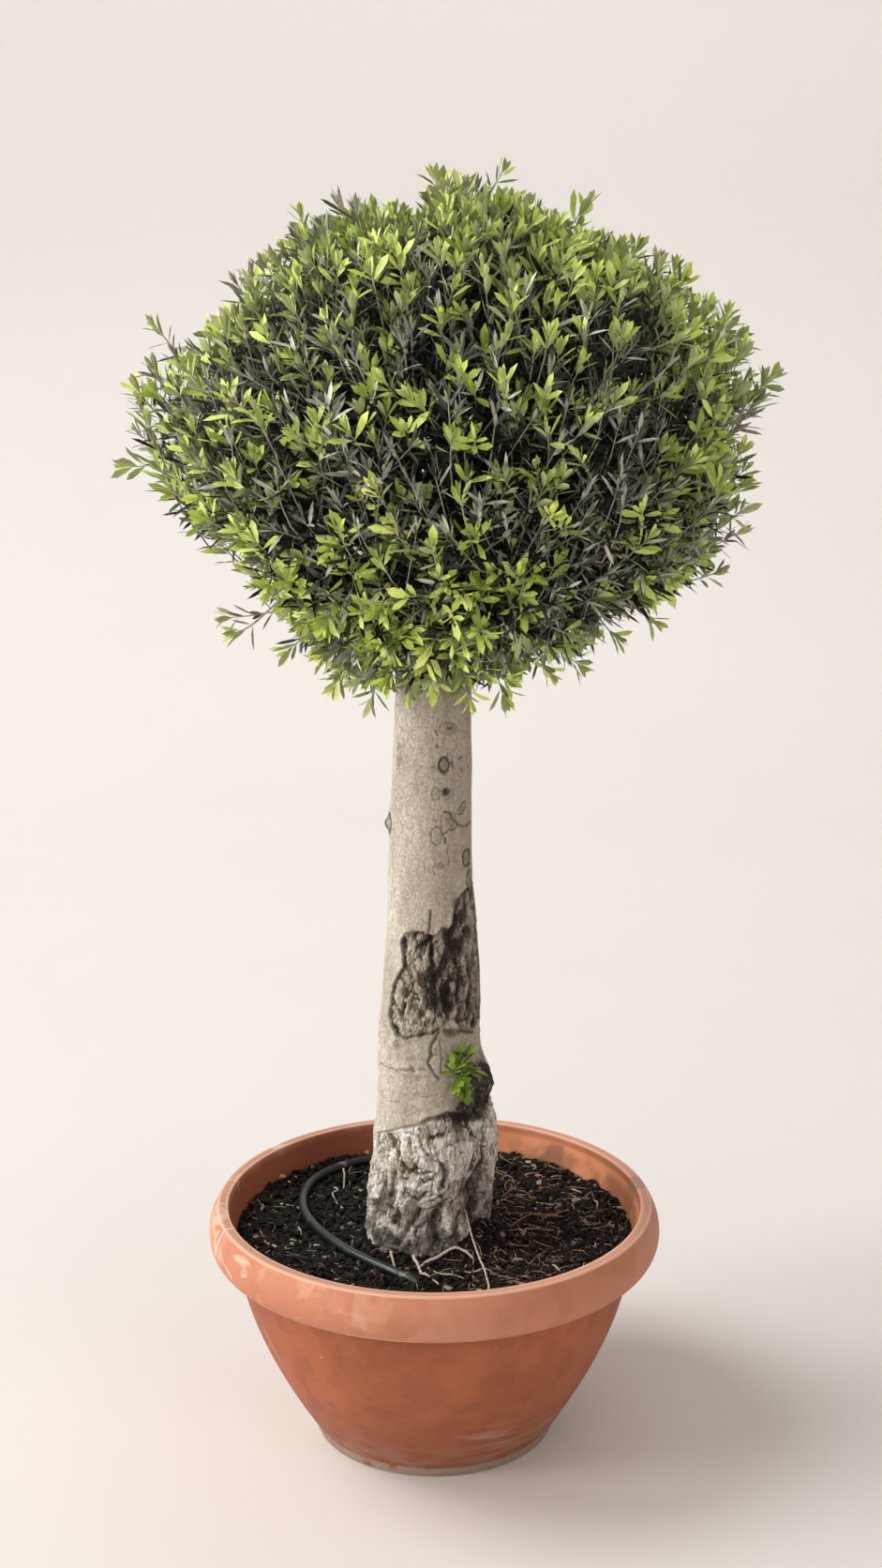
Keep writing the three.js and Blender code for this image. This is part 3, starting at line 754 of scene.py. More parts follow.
def tubeTemplate(sides, parts):
    # a closed tube one long, each ring of it to be moved onto a curve
    tube = bmesh.new()
    bmesh.ops.create_cone(tube, cap_ends=True, segments=sides, radius1=1, radius2=1, depth=1)
    upright = [e for e in tube.edges if abs(e.verts[0].co.z - e.verts[1].co.z) > 0.5]
    bmesh.ops.subdivide_edges(tube, edges=upright, cuts=parts - 1)
    bmesh.ops.translate(tube, verts=tube.verts[:], vec=(0, 0, 0.5))
    return templateOf(tube)


def sideways(vectors):
    # a level direction at right angles to each vector
    level = np.where(np.abs(vectors[..., 2:]) < 0.9, np.array([0, 0, 1.0]), np.array([1.0, 0, 0]))
    return unit(np.cross(level, vectors))


def tubesAlong(template, starts, bends, ends, startRadii, endRadii):
    # each tube runs from its start to its end, drawn towards its bend
    points = template["points"]
    t = points[:, 2][None, :, None]
    along = unit((bends - starts)[:, None] * (1 - t) + (ends - bends)[:, None] * t + 1e-9)
    side = sideways(along)
    radii = startRadii[:, None, None] * (1 - t) + endRadii[:, None, None] * t
    rings = points[None, :, :1] * side + points[None, :, 1:2] * np.cross(along, side)
    return bent(starts[:, None], bends[:, None], ends[:, None], t) + radii * rings


def turnedFrames(count, draw, tilt):
    # each row is a copy's own three axes, lying nearly level and turned at random
    turn = 2 * math.pi * draw.random(count)
    lean = draw.normal(0, tilt, (count, 2))
    along = unit(np.stack([np.cos(turn), np.sin(turn), lean[:, 0]], -1))
    up = unit(np.stack([lean[:, 1] * np.sin(turn), -lean[:, 1] * np.cos(turn), np.ones(count)], -1))
    side = unit(np.cross(up, along))
    return along, side, np.cross(along, side)


def litterSpots(count, draw):
    # places on the soil, clear of the wall, the trunk and the hose, but not of the hose's ends
    spots = np.zeros((0, 2))
    while len(spots) < count:
        radius, turn = litter["spotRadius"] * np.sqrt(draw.random(count)), 2 * math.pi * draw.random(count)
        x, y = radius * np.cos(turn), radius * np.sin(turn)
        clearOfHose = (hoseDistance(x, y)[0] > litter["hoseGap"]) | (x > -20) & (y < -150) | (y > 224)
        spots = np.vstack([spots, np.stack([x, y], -1)[(offFoot(x, y)[1] > 1) & clearOfHose]])
    x, y = spots[:count].T
    return np.stack([x, y, soilHeight(x, y)], -1)


def litterFinish(kind):
    if kind == "pebbles":
        return earthFinish(kind, *litter["tints"][kind], roughness=0.8)
    return woodyFinish(kind, *litter["tints"][kind])


def addCopies(name, template, places, materials, slot, nodes, smooth=False):
    addPiece(name, repeated(name, template, places, materials, smooth), slot, *nodes)


def layCrumbs(kind):
    count, sizes, seed, tilt, lift = litter["crumbs"][kind]
    draw = np.random.default_rng(seed)
    template = chipTemplate()
    spots = litterSpots(count, draw)
    along, side, up = turnedFrames(count, draw, tilt)
    long, wide, thick = (draw.uniform(low, high, count)[:, None] for low, high in sizes)
    spots[:, 2] += thick[:, 0] * lift + draw.random(count) * 2
    points = template["points"][None]
    axes = (along * long, side * wide, up * thick)
    places = spots[:, None] + sum(points[..., i, None] * axis[:, None] for i, axis in enumerate(axes))
    kept = np.hypot(places[..., 0], places[..., 1]).max(axis=1) < litter["reach"]
    addCopies(kind, template, places[kept], [litterFinish(kind)], "soil", ["soil"])


def layFibres():
    draw = np.random.default_rng(5)
    template = tubeTemplate(4, 5)
    for kind, (count, lengths, leftmost) in litter["fibres"].items():
        spots = litterSpots(count, draw)
        spots = spots[spots[:, 0] > leftmost]
        count = len(spots)
        along, side, up = turnedFrames(count, draw, 0.22)
        half = draw.uniform(*lengths, count)[:, None] / 2
        spots[:, 2] += 3.2
        bends = spots + side * half * draw.normal(0, 0.6, (count, 1)) + up * draw.uniform(0, 5, (count, 1))
        starts, ends = spots - along * half, spots + along * half
        for run in (starts, ends):
            run[:, 2] = soilHeight(run[:, 0], run[:, 1]) + 1.2
        thick = draw.uniform(0.35, 0.95, count)
        places = tubesAlong(template, starts, bends, ends, thick, thick * 0.5)
        x, y = places[..., 0], places[..., 1]
        offHose = hoseDistance(x.ravel(), y.ravel())[0].reshape(x.shape).min(axis=1)
        kept = (np.hypot(x, y).max(axis=1) < litter["reach"] - 2) & (offHose > litter["hoseGap"] - 2)
        addCopies(kind, template, places[kept], [litterFinish(kind)], "soil", ["soil"], True)


def layStrands():
    template = tubeTemplate(6, 2)
    for kind, strands in litter["strands"].items():
        pieces = []
        for start, end, places in strands:
            run = curveThrough(places, 5)
            run[:, 2] += soilHeight(run[:, 0], run[:, 1])
            radii = np.linspace(start, end, len(run))
            middles = (run[:-1] + run[1:]) / 2
            pieces.append(tubesAlong(template, run[:-1], middles, run[1:], radii[:-1], radii[1:]))
        addCopies(kind + "s", template, np.concatenate(pieces), [litterFinish(kind)], "soil", ["soil"], True)


def layShards():
    template = chipTemplate()
    finishes = {kind: litterFinish(kind) for kind in ("shard", "paleChip", "leafBit")}
    for number, (x, y, size, kind) in enumerate(litter["shards"]):
        place = np.array([x, y, soilHeight(np.array([x]), np.array([y]))[0] + 3])
        points = place + template["points"] * size * np.array([1, 0.6, 0.3])
        addCopies(f"{kind}{number + 1}", template, points[None], [finishes[kind]], "soil", ["soil"])


buildSoil()

# headings in degrees round the trunk, heights and sizes in millimetres
bark = {
    # where the smooth bark ends and the rough foot begins
    "footLine": [
        (-161, 421), (-135, 438), (-114, 450), (-97, 460), (-80, 466), (-53, 466), (-24, 460), (30, 452),
        (90, 436), (150, 424),
    ],
    # the outline of the old wound
    "wound": [
        (-20, 760), (-33, 758), (-50, 745), (-57, 726), (-65, 711), (-74, 715), (-86, 704), (-95, 707),
        (-102, 706), (-113, 707), (-124, 702), (-130, 690), (-126, 678), (-125, 659), (-134, 643), (-140, 630),
        (-142, 610), (-142, 590), (-137, 577), (-129, 568), (-117, 565), (-108, 569), (-101, 571), (-87, 574),
        (-80, 579), (-73, 583), (-60, 592), (-53, 580), (-43, 574), (-29, 573), (-12, 580), (-2, 600), (4, 640),
        (2, 690), (-6, 740), (-12, 758),
    ],
    # dark lines, cracks and hollows: width, how dark, how deep, and the places they run through; their dark is
    # partly painted shade in the cracks and hollows
    "lines": [
        (11, 0.95, 5, [(-62, 704), (-66, 684), (-72, 664), (-84, 646), (-89, 628), (-84, 614), (-72, 618)]),
        (8, 0.9, 3, [(-74, 636), (-66, 622), (-64, 606)]),
        (5, 0.95, 3, [(-102, 690), (-90, 700), (-90, 672), (-86, 660)]),
        (6, 1, 4, [(-51, 655), (-54, 636), (-56, 616)]), (7, 1, 3, [(-54, 724), (-60, 702), (-62, 690)]),
        (2.5, 0.8, 2, [(-46, 716), (-41, 700), (-44, 684), (-50, 676)]),
        (4, 0.9, 2, [(-34, 757), (-42, 752), (-51, 745), (-58, 726), (-60, 706)]),
        (
            2.6, 0.9, 1.5,
            [(-126, 678), (-125, 659), (-134, 643), (-140, 628), (-142, 606), (-138, 580), (-129, 570)],
        ),
        (3.4, 0.8, 1.5, [(-130, 692), (-124, 703), (-112, 708), (-103, 706)]),
        (2.2, 0.7, 1.5, [(-118, 566), (-108, 569), (-100, 571), (-87, 574), (-79, 580)]),
        (6, 0.8, 2, [(-42, 612), (-34, 600), (-38, 586)]), (3, 0.7, 1.5, [(-28, 612), (-30, 590)]),
        (2.5, 0.6, 1, [(-38, 668), (-34, 640), (-38, 620)]),
        (2.5, 0.6, 1, [(-116, 650), (-112, 620), (-116, 596)]), (2, 0.5, 1, [(-126, 640), (-124, 610)]),
        (2.5, 0.6, 1, [(-104, 606), (-100, 584)]), (3, 0.75, 1, [(-90, 737), (-91, 722), (-93, 706)]),
        (3.4, 0.85, 0.6, [(-68, 971), (-62, 971)]), (3, 0.6, 0.4, [(-87, 967), (-83, 962)]),
        (2.6, 0.5, 0.4, [(-91, 957), (-90, 956)]), (3, 0.7, 0.4, [(-85, 949), (-82, 947)]),
        (3, 0.7, 0.5, [(-67, 938), (-68, 931)]), (4.5, 0.8, 0.6, [(-61, 926), (-59, 922)]),
        (1.8, 0.75, 0.4, [(-49, 930), (-43, 931), (-38, 930)]), (2.4, 0.6, 0.3, [(-42, 917), (-41, 911)]),
        (2.4, 0.6, 0.3, [(-26, 916), (-24, 917)]), (8, 0.95, 1, [(-70, 889), (-67, 888)]),
        (1.8, 0.8, 0.8, [(-48, 861), (-40, 870), (-32, 872), (-31, 864), (-40, 857), (-47, 858)]),
        (1.9, 0.9, 1, [(-72, 864), (-62, 861), (-57, 852), (-48, 845), (-54, 838), (-63, 839), (-72, 834)]),
        (1.3, 0.6, 0.4, [(-68, 856), (-62, 848), (-60, 842)]),
        (1.1, 0.5, 0.4, [(-72, 834), (-76, 852), (-72, 864)]),
        (2.3, 0.8, 0.5, [(-49, 844), (-38, 841), (-26, 840), (-12, 842)]),
        (2.6, 0.8, 0.4, [(-70, 830), (-70, 823)]), (1.5, 0.5, 0.5, [(-65, 822), (-66, 808), (-64, 797)]),
        (1.6, 0.55, 0.4, [(-83, 797), (-87, 790), (-83, 783)]), (2.4, 0.6, 0.4, [(-86, 855), (-81, 853)]),
        (6, 0.9, 1.5, [(-172, 850), (-168, 836)]), (2.2, 0.5, 0.3, [(-150, 799), (-148, 799)]),
        (2.2, 0.45, 0.3, [(-68, 751), (-67, 750)]), (2, 0.5, 0.3, [(-107, 922), (-105, 922)]),
        (2.6, 0.75, 1.6, [(-79, 578), (-88, 557), (-88, 545), (-92, 536), (-86, 522), (-82, 514)]),
        (1.8, 0.55, 1, [(-78, 566), (-76, 541), (-79, 522)]), (6, 0.8, 1.6, [(-72, 577), (-62, 574)]),
        (4, 0.85, 1.6, [(-52, 574), (-41, 569), (-32, 566)]), (2.6, 0.7, 0.6, [(-165, 559), (-165, 546)]),
        (2.2, 0.6, 0.5, [(-150, 556), (-149, 546)]),
        (1.8, 0.6, 1.4, [(-161, 518), (-141, 520), (-122, 523), (-111, 525)]),
        (5, 0.6, 1, [(-109, 529), (-108, 524)]), (1.6, 0.5, 0.8, [(-106, 526), (-95, 527)]),
        (1.4, 0.4, 0.8, [(-140, 476), (-122, 480), (-108, 476)]),
        (1.4, 0.35, 0.7, [(-112, 494), (-96, 490), (-84, 494)]),
        # the next three marks run under the ledge: painted shadow where the smooth bark overhangs the foot
        (
            4.5, 0.6, 2.6,
            [
                (-99, 457), (-92, 462), (-86, 460), (-76, 468), (-62, 463), (-50, 468), (-33, 459),
                (0, 454), (30, 450),
            ],
        ),
        (7, 0.85, 3, [(-84, 462), (-66, 466), (-52, 464), (-38, 460)]),
        (2, 0.3, 2, [(-163, 420), (-150, 428), (-136, 437), (-118, 447), (-97, 456)]),
        # painted shade in the hollow low on the front
        (19, 0.8, 8, [(-44, 370), (-43, 346), (-45, 326)]),
        (3.4, 0.75, 4, [(-127, 426), (-124, 404), (-120, 384)]), (2.6, 0.6, 3, [(-114, 434), (-112, 412)]),
        (2.6, 0.65, 2.5, [(-104, 440), (-100, 422), (-92, 408), (-84, 403)]),
        (4, 0.8, 4, [(-83, 400), (-78, 384), (-82, 366)]), (4, 0.7, 3, [(-122, 392), (-104, 386), (-92, 391)]),
        (1.6, 0.55, 1.4, [(-66, 442), (-64, 415), (-60, 393)]), (1.5, 0.4, 1, [(-73, 432), (-75, 408)]),
        (4.5, 0.8, 4, [(-27, 456), (-33, 420), (-36, 394), (-31, 360)]),
        (9, 0.85, 5, [(-34, 330), (-42, 300), (-56, 284)]), (6, 0.8, 5, [(-80, 344), (-87, 322), (-82, 292)]),
        (4.5, 0.7, 4, [(-98, 338), (-108, 312), (-116, 288)]),
        (7, 0.8, 4, [(-150, 332), (-147, 306), (-143, 284)]), (4, 0.7, 3, [(-131, 348), (-126, 324)]),
        (5, 0.8, 4, [(-61, 332), (-66, 312), (-64, 288)]), (3, 0.7, 3, [(-112, 360), (-102, 352), (-94, 362)]),
        (3, 0.6, 3, [(60, 440), (66, 390), (58, 340)]), (4, 0.7, 4, [(104, 430), (98, 370), (106, 310)]),
        (3, 0.65, 3, [(150, 420), (146, 370), (156, 320)]), (5, 0.7, 3, [(120, 700), (128, 670), (122, 640)]),
        (2, 0.5, 1.2, [(50, 520), (80, 526), (110, 520)]), (2, 0.5, 1, [(140, 560), (160, 566), (175, 560)]),
    ],
    # blotches: heading, height, width, tallness and how dark, or how pale below nought; the one at -43, 346 is
    # painted shade in the hollow low on the front, and the one at -56, 455 a painted shadow under the ledge
    "blotches": [
        (-26, 502, 70, 66, 0.8), (-44, 467, 76, 34, 0.6), (-58, 482, 36, 22, 0.35), (-68, 648, 30, 84, 0.4),
        (-84, 622, 44, 36, 0.4), (-55, 732, 12, 46, 0.6), (-70, 612, 50, 24, 0.4), (-60, 690, 18, 40, 0.3),
        (-132, 640, 24, 70, -0.35), (-108, 690, 36, 24, -0.3), (-28, 700, 30, 70, -0.3),
        (-34, 640, 30, 70, -0.25), (-112, 655, 40, 60, -0.5), (-110, 590, 50, 34, -0.3),
        (-140, 300, 60, 34, 0.4), (-82, 292, 90, 34, 0.4), (-30, 320, 50, 50, 0.35), (-43, 346, 36, 92, 0.9),
        (-20, 494, 60, 52, 0.6), (-38, 469, 74, 38, 0.55), (-64, 573, 34, 14, 0.75), (-56, 455, 60, 14, 0.5),
        (-132, 406, 56, 66, -0.6), (-66, 420, 60, 60, -0.5), (-62, 345, 40, 60, -0.35), (20, 400, 60, 50, 0.3),
        (100, 330, 90, 70, 0.25), (170, 320, 70, 50, 0.25), (-66, 905, 34, 70, 0.12), (-60, 850, 19, 26, 0.42),
        (-40, 864, 12, 12, 0.4), (-31, 798, 12, 15, 0.3), (-26, 770, 10, 20, 0.3), (-72, 924, 10, 15, 0.35),
        (-81, 834, 11, 18, 0.14), (-83, 888, 6, 11, 0.25),
    ],
    # the dark burl on the right: heading, height, half its width and half its height
    "burl": (-24, 496, 44, 34),
    # scars of old shoots: heading, height, width, tallness, width of the line round them, how dark
    "rings": [
        (-67, 971, 22, 14, 1.5, 0.45), (-147, 933, 9, 28, 1.2, 0.4), (-72, 924, 13, 19, 2.8, 0.85),
        (-87, 919, 6, 8, 1, 0.4), (-83, 888, 9, 15, 1.4, 0.5), (-60, 887, 7, 9, 1.2, 0.5),
        (-81, 834, 15, 23, 1.4, 0.5), (-31, 798, 17, 21, 2.6, 0.9), (-25, 768, 14, 26, 2.4, 0.9),
        (-76, 794, 8, 6, 1.4, 0.5), (-168, 840, 16, 24, 2.4, 0.7), (-130, 556, 7, 8, 1.6, 0.5),
        (60, 900, 15, 18, 2, 0.7), (120, 820, 12, 9, 1.6, 0.6), (95, 712, 16, 22, 2.6, 0.8),
        (150, 660, 9, 12, 1.6, 0.5), (70, 590, 14, 12, 2, 0.6), (130, 950, 9, 11, 1.6, 0.6),
        (40, 830, 9, 12, 1.6, 0.5), (20, 960, 10, 9, 1.4, 0.5),
    ],
}


def unrolled(turn, z):
    # the bark laid out flat, in millimetres across from the middle of its front and upwards
    return np.stack([roundOff(turn, -70) * 60, z], -1)


def lineDistance(spots, corners):
    nearest = np.full(len(spots), 1e9)
    for a, b in zip(corners, corners[1:]):
        along = b - a
        share = np.clip((spots - a) @ along / (along @ along), 0, 1)
        nearest = np.minimum(nearest, np.linalg.norm(spots - a - share[:, None] * along, axis=1))
    return nearest


def insideDepth(spots, corners):
    # how far inside an outline each spot is, and less than nought outside it
    inside = np.zeros(len(spots), bool)
    for a, b in zip(corners, np.roll(corners, -1, axis=0)):
        crosses = (a[1] > spots[:, 1]) != (b[1] > spots[:, 1])
        reach = a[0] + (spots[:, 1] - a[1]) * (b[0] - a[0]) / (b[1] - a[1] + 1e-9)
        inside ^= crosses & (spots[:, 0] < reach)
    return np.where(inside, 1, -1) * lineDistance(spots, np.vstack([corners, corners[:1]]))


def furrows(points, size, layers, seed):
    # sharp crests with furrows between them, from nought to about one and a half
    total, share, keep = 0, 1, 1
    for layer in range(layers):
        crest = (1 - np.abs(softNoise(points, np.asarray(size, float) / 2**layer, seed + layer))) ** 2 * keep
        keep = np.clip(crest * 1.7, 0, 1)
        total = total + crest * share
        share *= 0.5
    return total


def onBark(places):
    headings, heights = np.array(places, float).T
    return unrolled(np.radians(headings), heights)


def barkRelief(turn, z):
    # how far the bark stands out, and what is painted on it
    girth, _ = trunkMiddle(z)
    points = np.stack([girth * np.cos(turn), girth * np.sin(turn), z], -1)
    warp = np.stack([layeredNoise(points, (26, 26, 38), 3, 40 + 5 * i) for i in range(3)], -1)
    fine = layeredNoise(points, (5, 5, 7), 2, 25)
    clumps = layeredNoise(points, 12, 2, 70)

    # the rough foot, the burl and the old wound
    headings, heights = zip(*bark["footLine"])
    foot = np.interp(np.degrees(turn), headings, heights, period=360) + 3 * layeredNoise(points, 12, 2, 50)
    heading, height, wide, tall = bark["burl"]
    burl = np.exp(-((roundOff(turn, heading) * girth / wide) ** 2) - ((z - height) / tall) ** 2)
    rough = np.maximum(softStep(foot + 2, foot - 4, z), softStep(0.35, 0.6, burl + 0.14 * clumps))
    flat = unrolled(turn, z)
    depth = insideDepth(flat + 3 * np.stack([warp[:, 0], fine], -1), onBark(bark["wound"]))
    wound = softStep(-0.8, 1.6, depth) * (1 - rough)

    # smooth bark, folded over the foot
    smooth = 0.8 * layeredNoise(points, (34, 34, 70), 2, 1) + 0.3 * layeredNoise(points, (6, 6, 16), 2, 5)
    folded = softStep(458, 480, z) * softStep(640, 540, z)
    smooth += folded * 1.3 * layeredNoise(points + 5 * warp, (34, 34, 8), 3, 9)

    # ridges, ribs, splits and flakes on the foot
    twisted = points + 6 * warp
    ridge = furrows(twisted, (15, 15, 36), 4, 15)
    ribs = layeredNoise(points + 3 * warp, (7, 7, 60), 2, 61) * softStep(372, 404, z)
    split = np.abs(layeredNoise(twisted, (24, 24, 60), 3, 21))
    check = np.abs(layeredNoise(twisted, (10, 10, 20), 3, 27))
    flake = furrows(points + 3 * warp, (6.5, 6.5, 9), 2, 65)
    footRelief = 3.6 * (ridge - 0.75) - 3.0 * softStep(0.12, 0, split) - 1.6 * softStep(0.12, 0, check) + 1.5 * ribs
    footRelief += 2.6 * layeredNoise(points, (26, 26, 60), 2, 29) + 1.5 * (flake - 0.6) * softStep(430, 392, z)

    # scabs in the wound, with a lip of new bark round it
    scab = furrows(points + 5 * warp, (11, 11, 19), 3, 33)
    scabSplit = np.abs(layeredNoise(points + 4 * warp, (13, 13, 26), 3, 37))
    woundRelief = -2.8 + 3.0 * (scab - 0.6) - 2.0 * softStep(0.12, 0, scabSplit) + 1.1 * (flake - 0.6)
    relief = smooth + rough * (footRelief - smooth)
    relief += wound * (woundRelief - smooth) + 1.9 * gauss(depth + 1, 2.2) * (1 - rough)
    relief += 2.4 * gauss(z - foot - 4, 4) * softStep(-125, -100, np.degrees(turn)) * (1 - burl)

    # the foot's splits and checks and the wound's scab splits are dark with painted shade in them; the low parts of
    # ridges, flakes, scabs and ribs get painted shade
    shades = [
        rough * (0.75 * softStep(0.06, 0.01, split) + 0.4 * softStep(0.05, 0.01, check)),
        rough * 0.35 * softStep(0.32, 0.14, ridge),
        rough * 0.2 * softStep(0.3, 0.14, flake) * softStep(440, 380, z),
        wound * (0.85 * softStep(0.09, 0.01, scabSplit) + 0.5 * softStep(0.4, 0.2, scab)),
        rough * 0.15 * softStep(-0.2, -0.8, ribs),
    ]
    darkMarksAndShade = np.max(shades, axis=0)
    for heading, height, wide, tall, dark in bark["blotches"]:
        off = np.hypot(roundOff(turn, heading) * girth / (wide / 2), (z - height) / (tall / 2))
        darkMarksAndShade += dark * softStep(1.25, 0.55, off + 0.3 * layeredNoise(points, 9, 2, 73)) * (0.8 + 0.35 * fine)
    ragged = flat + 1.1 * np.stack([fine, warp[:, 2]], -1)
    for width, dark, deep, places in bark["lines"]:
        away = lineDistance(ragged, onBark(places)) / (width * 0.62)
        darkMarksAndShade = np.maximum(darkMarksAndShade, dark * softStep(1.35, 0.55, away + 0.25 * fine))
        relief += deep * (0.3 * gauss(away - 2, 0.8) - gauss(away, 1.1))
    for heading, height, wide, tall, line, dark in bark["rings"]:
        across, up = roundOff(turn, heading) * girth + fine, z - height + warp[:, 2]
        off = np.hypot(across / (wide / 2), up / (tall / 2))
        away = np.abs(off - 1) * min(wide, tall) / (line * 1.3)
        darkMarksAndShade = np.maximum(darkMarksAndShade, dark * softStep(1.25, 0.5, away + 0.4 * fine))
        darkMarksAndShade = np.maximum(darkMarksAndShade, 0.45 * dark * softStep(1, 0.6, off + 0.2 * fine))
        relief += 0.45 * line * (softStep(1.1, 0.5, off) + gauss(off - 1.5, 0.3) - gauss(away, 1))
    # painted shade just inside the wound's lip
    darkMarksAndShade = np.clip(np.maximum(darkMarksAndShade, 0.7 * gauss(depth - 0.6, 1.6) * (1 - rough)), 0, 1)
    crest = np.clip(0.5 + np.where(rough > 0.5, footRelief / 9, woundRelief / 6 + 0.3), 0, 1)
    return relief, {"rough": rough, "wound": wound, "darkMarksAndShade": darkMarksAndShade, "crest": crest}


def barkFinish():
    finish = Finish("oliveBark", roughness=0.85, specular=0.25)
    x, _, z = finish.axes()
    rough, wound, darkMarksAndShade, crest = (finish.painted(name) for name in ("rough", "wound", "darkMarksAndShade", "crest"))
    cloudy, patchy = finish.noise(20, detail=5, stretch=(1, 1, 0.4)), finish.noise(34, detail=4)
    threads = finish.noise(150, detail=5, stretch=(1, 1, 0.16), distortion=0.8)
    grain = finish.noise(380, detail=4, stretch=(1, 1, 0.6), distortion=0.5)
    wrinkles = finish.thinLines(190, 0.02, stretch=(1, 1, 0.75))
    cracks = finish.thinLines(62, 0.015, stretch=(1, 1, 0.45))
    splinters = finish.thinLines(150, 0.03, stretch=(1, 1, 0.4))
    smooth = finish.coats(
        finish.mix(cloudy.above(0.5, 0.2), (0.50, 0.435, 0.35), (0.68, 0.62, 0.53)),
        (threads.above(0.56, 0.1) * 0.45, (0.37, 0.305, 0.235)),
        (grain.above(0.58, 0.08) * 0.35, (0.27, 0.215, 0.165)),
        # the right half darker and browner: partly the bark's own tone, partly painted shade away from the light
        (x.above(-0.02, 0.03) * 0.4, (0.36, 0.295, 0.23)),
        (wrinkles * patchy.above(0.46, 0.1) * 0.3, (0.22, 0.17, 0.125)),
    )
    # the wound's scales pale on their crests and dark between them: partly their own tone, partly painted light and
    # shade
    scaly = finish.mix(crest.above(0.45, 0.32), (0.10, 0.078, 0.056), (0.60, 0.53, 0.43))
    # the wound darker on its right side: partly darker bark, partly painted shade away from the light
    scaly = finish.mix(x.above(-0.004, 0.014) * 0.25, scaly, (0.12, 0.092, 0.066))
    # the foot near white on its crests and dark in its furrows: partly the bark's own tone, partly painted light on
    # the crests and painted shade in the furrows
    footBark = finish.coats(
        finish.mix(crest.above(0.3, 0.22), (0.17, 0.135, 0.098), (0.98, 0.93, 0.83)),
        (patchy.above(0.56, 0.07) * 0.45, (0.46, 0.365, 0.27)),
        ((1 - z.above(0.325, 0.06)) * patchy.above(0.42, 0.12) * 0.8, (0.070, 0.074, 0.050)),
    )
    broken = finish.coats(
        finish.mix(wound, footBark, scaly),
        (grain.above(0.58, 0.1) * 0.25, (0.24, 0.19, 0.145)),
        # thin cracks and splinters, dark partly with painted shade in them
        (cracks * 0.6, (0.05, 0.038, 0.027)),
        (splinters * 0.22, (0.10, 0.08, 0.058)),
    )
    torn = rough + wound
    pores = (1 - finish.cells(75, stretch=(1, 1, 0.6)).above(0.1, 0.04)) * finish.noise(12).above(0.58, 0.05)
    colour = finish.coats(
        finish.mix(torn, smooth, broken),
        # the dark marks and the painted shade carried on the mesh
        (darkMarksAndShade * (0.8 + grain * 0.3), (0.024, 0.018, 0.013)),
        (pores * 0.5, (0.16, 0.12, 0.09)),
    )
    height = threads * 0.6 + grain * 0.45 + patchy * 0.3 - wrinkles * 0.4
    height = height - torn * (cracks * 1.6 + splinters * 0.8)
    return finish.feed(Base_Color=colour, Normal=finish.bump(height, 0.85, 0.0018))


def buildTrunk():
    heights = [np.linspace(low, high, count, endpoint=False) for low, high, count in trunk["spans"]]
    heights = [*np.concatenate(heights), trunk["tip"]]
    tube = turned([(1 / mm, z) for z in heights], trunk["turns"])  # one metre out, to be drawn in below
    bmesh.ops.holes_fill(tube, edges=[e for e in tube.edges if e.is_boundary], sides=0)
    bmesh.ops.recalc_face_normals(tube, faces=tube.faces[:])
    mesh = meshOf("trunkBark", tube, [barkFinish()])
    places = np.zeros(len(mesh.vertices) * 3)
    mesh.vertices.foreach_get("co", places)
    places = places.reshape(-1, 3)
    turn, z = np.arctan2(places[:, 1], places[:, 0]), places[:, 2] / mm
    turn -= trunk["frontCrowding"] * np.sin(turn + math.pi / 2)  # the points stand closer in front
    relief, paint = barkRelief(turn, z)
    radius = trunkRadius(z, turn) + relief
    _, shift = trunkMiddle(z)
    shaped = np.stack([shift + radius * np.cos(turn), radius * np.sin(turn), z], -1)
    mesh.vertices.foreach_set("co", (shaped * mm).ravel())
    for name, values in paint.items():
        mesh.attributes.new(name, "FLOAT", "POINT").data.foreach_set("value", values.astype(np.float32))
    mesh.update()
    addPiece("trunkBark", mesh, "bark", "trunk")
    print("trunk done")


buildTrunk()


def leafTemplate(stations, fold, thickness):
    # a thin closed blade one long and one wide, its upper side in the first finish and its lower in the second
    blade = bmesh.new()
    bmesh.ops.create_grid(blade, x_segments=len(stations) - 1, y_segments=2, size=0.5)
    for vert in blade.verts:
        along, width = stations[round((vert.co.x + 0.5) * (len(stations) - 1))]
        side = round(vert.co.y * 2)
        vert.co = (along, side * width / 2, abs(side) * fold * width + (side == 0) * thickness * (width > 0))
    upper = blade.verts[:] + blade.edges[:] + blade.faces[:]
    copied = bmesh.ops.duplicate(blade, geom=upper)["geom"]
    lower = [f for f in copied if isinstance(f, bmesh.types.BMFace)]
    for vert in copied:
        if isinstance(vert, bmesh.types.BMVert) and abs(vert.co.y) < 1e-6:
            vert.co.z = -vert.co.z
    bmesh.ops.reverse_faces(blade, faces=lower)
    for face in lower:
        face.material_index = 1
    bmesh.ops.remove_doubles(blade, verts=blade.verts[:], dist=1e-4)
    return templateOf(blade)


def bladesAt(template, roots, along, normals, lengths, widths, bends):
    # the template's points for each leaf, from its root along its length, bent towards its upper side
    points = template["points"][None]
    side = np.cross(normals, along) * widths[:, None]
    rise = points[..., 2:] * widths[:, None, None] + points[..., :1] ** 2 * (bends * lengths)[:, None, None]
    spine = roots[:, None] + points[..., :1] * (along * lengths[:, None])[:, None]
    return spine + points[..., 1:2] * side[:, None] + rise * normals[:, None]


def roundAbout(vectors, turn):
    # a direction at right angles to each vector, turned about it
    first = sideways(vectors)
    return first * np.cos(turn)[:, None] + np.cross(vectors, first) * np.sin(turn)[:, None]


